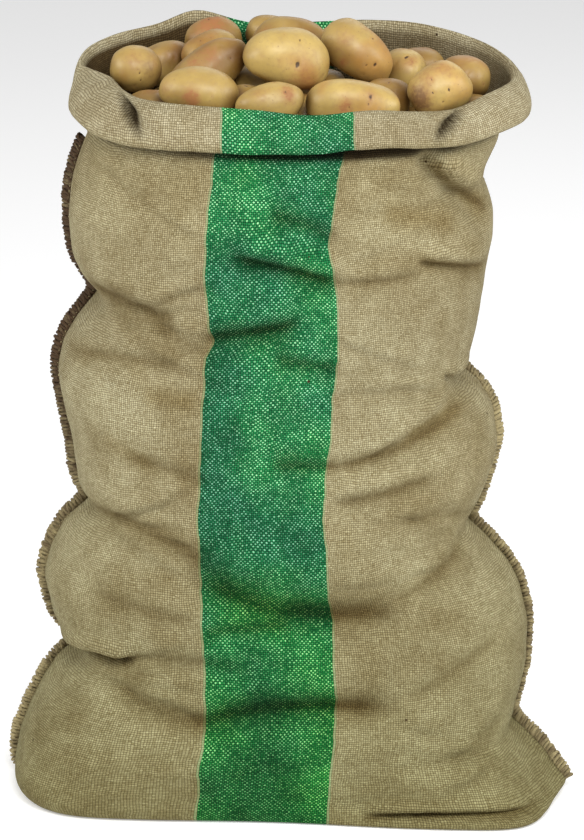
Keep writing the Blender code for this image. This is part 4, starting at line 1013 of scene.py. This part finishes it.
# The potatoes: washed ware potatoes of about 60 to 150 g, heaped into the open mouth. Each is an
# uneven ball, a little thicker at one end, with shallow eyes, pores and a few russet patches.
# Columns: potato, the way the mark faces across, forwards and up, its radius, and how much of it
# is an eye, a red-brown patch and a dark bruise.
SKIN_MARKS = (
    (10, 0.34, 0.94, -0.02, 0.0030, 1.0, 0.0, 0.2), (10, 0.71, 0.55, -0.45, 0.0023, 1.0, 0.3, 0.2),
    (10, 0.87, 0.30, -0.38, 0.0020, 0.9, 0.3, 0.1), (10, 0.45, 0.70, -0.55, 0.0140, 0.0, 0.5, 0.0),
    (10, -0.68, 0.70, 0.20, 0.0018, 0.7, 0.2, 0.0), (10, -0.10, 0.50, 0.85, 0.0018, 0.6, 0.2, 0.0),
    (1, 0.18, 0.96, 0.02, 0.0014, 0.9, 0.1, 0.0), (1, 0.24, 0.93, -0.30, 0.0012, 0.9, 0.1, 0.0),
    (1, 0.10, 0.90, 0.16, 0.0012, 0.8, 0.1, 0.0), (1, 0.55, 0.80, 0.00, 0.0070, 0.0, 0.0, 0.5),
    (6, -0.34, 0.93, -0.04, 0.0055, 0.0, 1.0, 0.0), (6, -0.14, 0.96, -0.02, 0.0050, 0.0, 1.0, 0.0),
    (6, 0.46, 0.88, 0.07, 0.0018, 0.9, 0.1, 0.0), (6, 0.55, 0.70, 0.45, 0.0018, 0.6, 0.1, 0.0),
    (5, -0.45, 0.70, 0.50, 0.0060, 0.0, 0.6, 0.1), (5, 0.15, 0.60, 0.75, 0.0100, 0.0, 0.5, 0.0),
    (5, -0.80, 0.50, -0.10, 0.0020, 1.0, 0.0, 0.2), (3, -0.10, 0.50, 0.80, 0.0150, 0.0, 1.0, 0.0),
    (4, -0.40, 0.60, 0.65, 0.0022, 0.7, 0.2, 0.0), (4, 0.10, 0.50, 0.80, 0.0020, 0.6, 0.1, 0.0),
    (13, 0.73, 0.45, 0.52, 0.0055, 0.0, 1.0, 0.2), (13, 0.66, 0.45, 0.62, 0.0018, 0.9, 0.4, 0.3),
    (14, 0.60, 0.67, 0.45, 0.0028, 0.7, 0.5, 0.3), (14, -0.36, 0.92, 0.15, 0.0060, 0.0, 0.8, 0.0),
    (14, 0.55, 0.80, 0.20, 0.0016, 0.8, 0.2, 0.0), (11, 0.56, 0.79, -0.25, 0.0022, 1.0, 0.3, 0.1),
    (11, 0.60, 0.45, 0.60, 0.0018, 0.8, 0.2, 0.0), (11, -0.50, 0.80, -0.25, 0.0040, 0.2, 0.7, 0.0),
    (11, 0.30, 0.85, -0.25, 0.0018, 0.8, 0.1, 0.0), (18, -0.67, 0.72, -0.16, 0.0095, 0.0, 0.6, 0.9),
    (18, 0.35, 0.88, 0.20, 0.0020, 0.8, 0.2, 0.0), (18, 0.15, 0.92, -0.25, 0.0016, 0.8, 0.1, 0.0),
    (18, -0.25, 0.90, 0.10, 0.0014, 0.8, 0.1, 0.0), (16, 0.10, 0.90, 0.00, 0.0028, 0.9, 0.4, 0.2),
    (15, 0.30, 0.70, 0.60, 0.0050, 0.1, 0.6, 0.2), (19, -0.30, 0.80, -0.20, 0.0020, 0.8, 0.2, 0.0),
    (19, 0.10, 0.80, 0.30, 0.0016, 0.7, 0.1, 0.0), (2, 0.20, 0.70, 0.50, 0.0022, 0.6, 0.3, 0.0),
)
# Columns: potato, and how pale its skin is painted, from 0 to 1, for the potatoes that show: partly
# its own tone and partly painted shade, darker for the potatoes further back.
SKIN_TONES_AND_SHADE = (
    (1, 0.58), (2, 0.34), (3, 0.30), (4, 0.32), (5, 0.24), (6, 0.58), (7, 0.40), (8, 0.36), (9, 0.24),
    (10, 0.76), (11, 0.66), (12, 0.14), (13, 0.66), (14, 0.74), (15, 0.70), (16, 0.12), (17, 0.02),
    (18, 0.78), (19, 0.32), (20, 0.30), (21, 0.12),
)


def potato_frame(node):
    """The middle, axes and half sizes of a node's potato: its longest way, a level one, and across both."""
    points = np.zeros(len(node.data.vertices) * 3)
    node.data.vertices.foreach_get("co", points)
    points = points.reshape(-1, 3)
    long_axis = np.linalg.eigh(np.cov(points.T))[1][:, -1]
    long_axis *= np.sign(long_axis[0])
    level = np.cross([0, 0, 1], long_axis)
    level /= np.linalg.norm(level)
    axes = np.stack([long_axis, level, np.cross(long_axis, level)])
    spread = points @ axes.T
    low, high = spread.min(axis=0), spread.max(axis=0)
    return (low + high) / 2 @ axes, axes, (high - low) / 2


def potato_mesh(name, number, frames, rings, sides):
    """A potato on a grid of angle round its length and angle from end to end.

    The unit ball is made a little square, thicker at one end and bent, then given low waves, set
    to the half sizes, and dented by a double bell at each eye. Its nearness to the others is a
    bell of the distance to each of their ellipsoids, which darkens the skin as painted shade.
    """
    chance = np.random.default_rng(100 + number)
    middle, axes, half = frames[number]
    turn = np.linspace(0, 2 * math.pi, sides, endpoint=False)[None, :]
    swing = np.linspace(0, math.pi, rings + 1)[1:-1, None]
    ball = [np.cos(swing) + 0 * turn, np.sin(swing) * np.cos(turn), np.sin(swing) * np.sin(turn)]
    ball = np.stack(ball, axis=2)
    ball = np.concatenate([[[1, 0, 0]], ball.reshape(-1, 3), [[-1, 0, 0]]])
    stretch = (np.abs(ball) ** 2.25).sum(axis=1) ** (-1 / 2.25)
    waves = np.zeros(len(ball))
    for size, strength in ((1.6, 0.020), (2.7, 0.012), (5.0, 0.004)):
        for _ in range(3):
            way = chance.normal(size=3)
            way *= size / np.linalg.norm(way)
            waves += strength * np.sin(ball @ way * 2 + chance.uniform(0, 6.28))
    shape = ball * (stretch * (0.985 + waves))[:, None]
    shape[:, 1:] *= 1 + chance.uniform(-0.10, 0.10) * ball[:, :1]
    shape[:, 2] += chance.uniform(-0.06, 0.06) * (ball[:, 0] ** 2 - 0.4)
    points = shape * half
    facing = ball / half
    facing /= np.linalg.norm(facing, axis=1)[:, None]

    own = [row[1:] for row in SKIN_MARKS if row[0] == number]
    marks = [(*(np.array([x, -forward, up]) @ axes.T), *rest) for x, forward, up, *rest in own]
    for _ in range(5):
        way = chance.normal(size=3) * (0.7, 1, 1)
        radius = chance.uniform(0.0013, 0.0022)
        marks.append((*way, radius, chance.uniform(0.5, 0.9), chance.uniform(0, 0.4), 0.0))
    for _ in range(3):
        way = chance.normal(size=3)
        marks.append((*way, chance.uniform(0.004, 0.009), 0.0, chance.uniform(0.1, 0.4), 0.1))
    eye = np.zeros(len(ball))
    russet = np.zeros(len(ball))
    bruise = np.zeros(len(ball))
    for x, y, z, radius, eye_share, russet_share, bruise_share in marks:
        way = np.array([x, y, z]) / math.sqrt(x * x + y * y + z * z)
        centre = way / np.linalg.norm(way / half)
        off = points - centre
        lengthwise = off[:, 0]
        across = np.linalg.norm(off[:, 1:], axis=1)
        bell = np.exp(-((lengthwise / radius) ** 2) - (across / (radius * 1.5)) ** 2)
        brow = np.exp(-(((lengthwise - 1.7 * radius) / radius) ** 2) - (across / (radius * 2)) ** 2)
        points += facing * (eye_share * radius * (0.16 * brow - 0.45 * bell))[:, None]
        eye += eye_share * np.exp(-(((lengthwise / radius) ** 2) + (across / (radius * 1.5)) ** 2) * 1.2)
        russet += russet_share * bell
        bruise += bruise_share * bell
    points = points @ axes + middle
    near = np.zeros(len(ball))
    for other, (other_middle, other_axes, other_half) in frames.items():
        if other != number:
            away = np.linalg.norm((points - other_middle) @ other_axes.T / other_half, axis=1) - 1
            near = np.maximum(near, np.exp(-((away.clip(0) * other_half.min() / 0.0075) ** 2)))
    grid = 1 + np.arange((rings - 1) * sides).reshape(rings - 1, sides)
    after = np.roll(grid, -1, axis=1)
    faces = np.stack([grid[:-1], grid[1:], after[1:], after[:-1]], axis=2).reshape(-1, 4).tolist()
    faces += np.stack([0 * grid[0], grid[0], after[0]], axis=1).tolist()
    faces += np.stack([grid[-1], 0 * grid[0] + len(ball) - 1, after[-1]], axis=1).tolist()
    mesh = bpy.data.meshes.new(name)
    mesh.from_pydata(points, [], faces)
    pale_and_lit = dict(SKIN_TONES_AND_SHADE).get(number, 0.4)
    colours = np.stack([eye, russet, bruise, np.full(len(ball), pale_and_lit)], axis=1).clip(0, 1)
    store_points(mesh, "marks", colours)
    store_points(mesh, "near", near)
    smooth_all(mesh)
    return mesh


def potato_skin_material():
    """Washed potato skin: buff yellow in soft clouds, fine brown pores, russet patches and dark eyes, with
    painted shade where it touches the other potatoes.
    """
    made, shader, start = new_material("potato_skin", 0.44)
    marks = start.node("ShaderNodeAttribute", {"attribute_name": "marks"})
    tone_and_shade = marks.channel(3)
    parts = start.node("ShaderNodeSeparateColor", n0=marks)
    eye, russet, bruise = (parts.channel(index) for index in range(3))
    body = start.node("ShaderNodeTexCoord", output=3)
    cloud = body.noise(30.0, 3.0)
    flush = start.node("ShaderNodeTexNoise", Vector=body, Scale=17.0, Detail=2.0, Distortion=0.4)
    mottle = body.noise(260.0, 3.0)
    grain = body.noise(1400.0, 2.0)
    # Each potato's tone is partly its own and partly painted shade, darker for the potatoes further back.
    tone = ((cloud - 0.5) * 1.5 + tone_and_shade).held()
    skin = tone.tinted((0.235, 0.128, 0.027, 1), (0.520, 0.368, 0.114, 1))
    skin = ((flush - 0.52) * 5.0).held().tinted(skin, skin.times((0.96, 0.76, 0.66, 1)))
    rubbed = ((mottle - 0.50) * 4.0).held() * 0.30
    skin = rubbed.tinted(skin, (0.300, 0.195, 0.095, 1))
    pore_far = start.node("ShaderNodeTexVoronoi", Vector=body, Scale=230.0)
    picked = start.node("ShaderNodeSeparateColor", n0=pore_far.channel(1)) > 0.70
    pore = (1.2 - pore_far * 8.0).held() * picked
    skin = (pore * 0.8).tinted(skin, (0.150, 0.080, 0.030, 1))
    patch = (russet * 1.2 + (mottle - 0.5) * russet * 3.0).held() * 0.75
    skin = patch.tinted(skin, (0.360, 0.130, 0.045, 1))
    dark_patch = (bruise * 1.2 + (mottle - 0.5) * bruise * 3.0).held() * 0.75
    skin = dark_patch.tinted(skin, (0.155, 0.080, 0.027, 1))
    spot = ((eye - 0.42 + (mottle - 0.5) * 0.5) * 4.5).held() * 0.92
    skin = spot.tinted(skin, (0.050, 0.024, 0.008, 1))
    # Painted shade where the potato touches the others.
    near = start.node("ShaderNodeAttribute", {"attribute_name": "near"}, output=2)
    final = near.held().tinted(skin, skin.times((0.30, 0.21, 0.13, 1)))
    final.feeds(shader, "Base Color")
    gloss = (mottle * 0.25 + patch * 0.25 + 0.32).maths("MINIMUM", 0.9)
    gloss.feeds(shader, "Roughness")
    relief = mottle * 0.6 + grain * 0.25 - pore * 0.5
    bump = start.node("ShaderNodeBump", Strength=0.35, Distance=0.0006, Height=relief)
    bump.feeds(shader, "Normal")
    return made


potato_skin = potato_skin_material()
POTATOES_THAT_SHOW = 21
SHOWN_DETAIL = (70, 104)
GLIMPSED_DETAIL = (26, 40)
potato_nodes = sorted(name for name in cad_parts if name.startswith("potato_"))
potato_frames = {int(name[-2:]): potato_frame(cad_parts[name]) for name in potato_nodes}
for node_name in potato_nodes:
    potato_number = int(node_name[-2:])
    potato_detail = SHOWN_DETAIL if potato_number <= POTATOES_THAT_SHOW else GLIMPSED_DETAIL
    potato_piece_mesh = potato_mesh(node_name + "_skin", potato_number, potato_frames, *potato_detail)
    potato_piece_mesh.materials.append(potato_skin)
    potato_piece = bpy.data.objects.new(node_name + "_skin", potato_piece_mesh)
    scene.collection.objects.link(potato_piece)
    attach(potato_piece, "root")
    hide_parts(node_name)
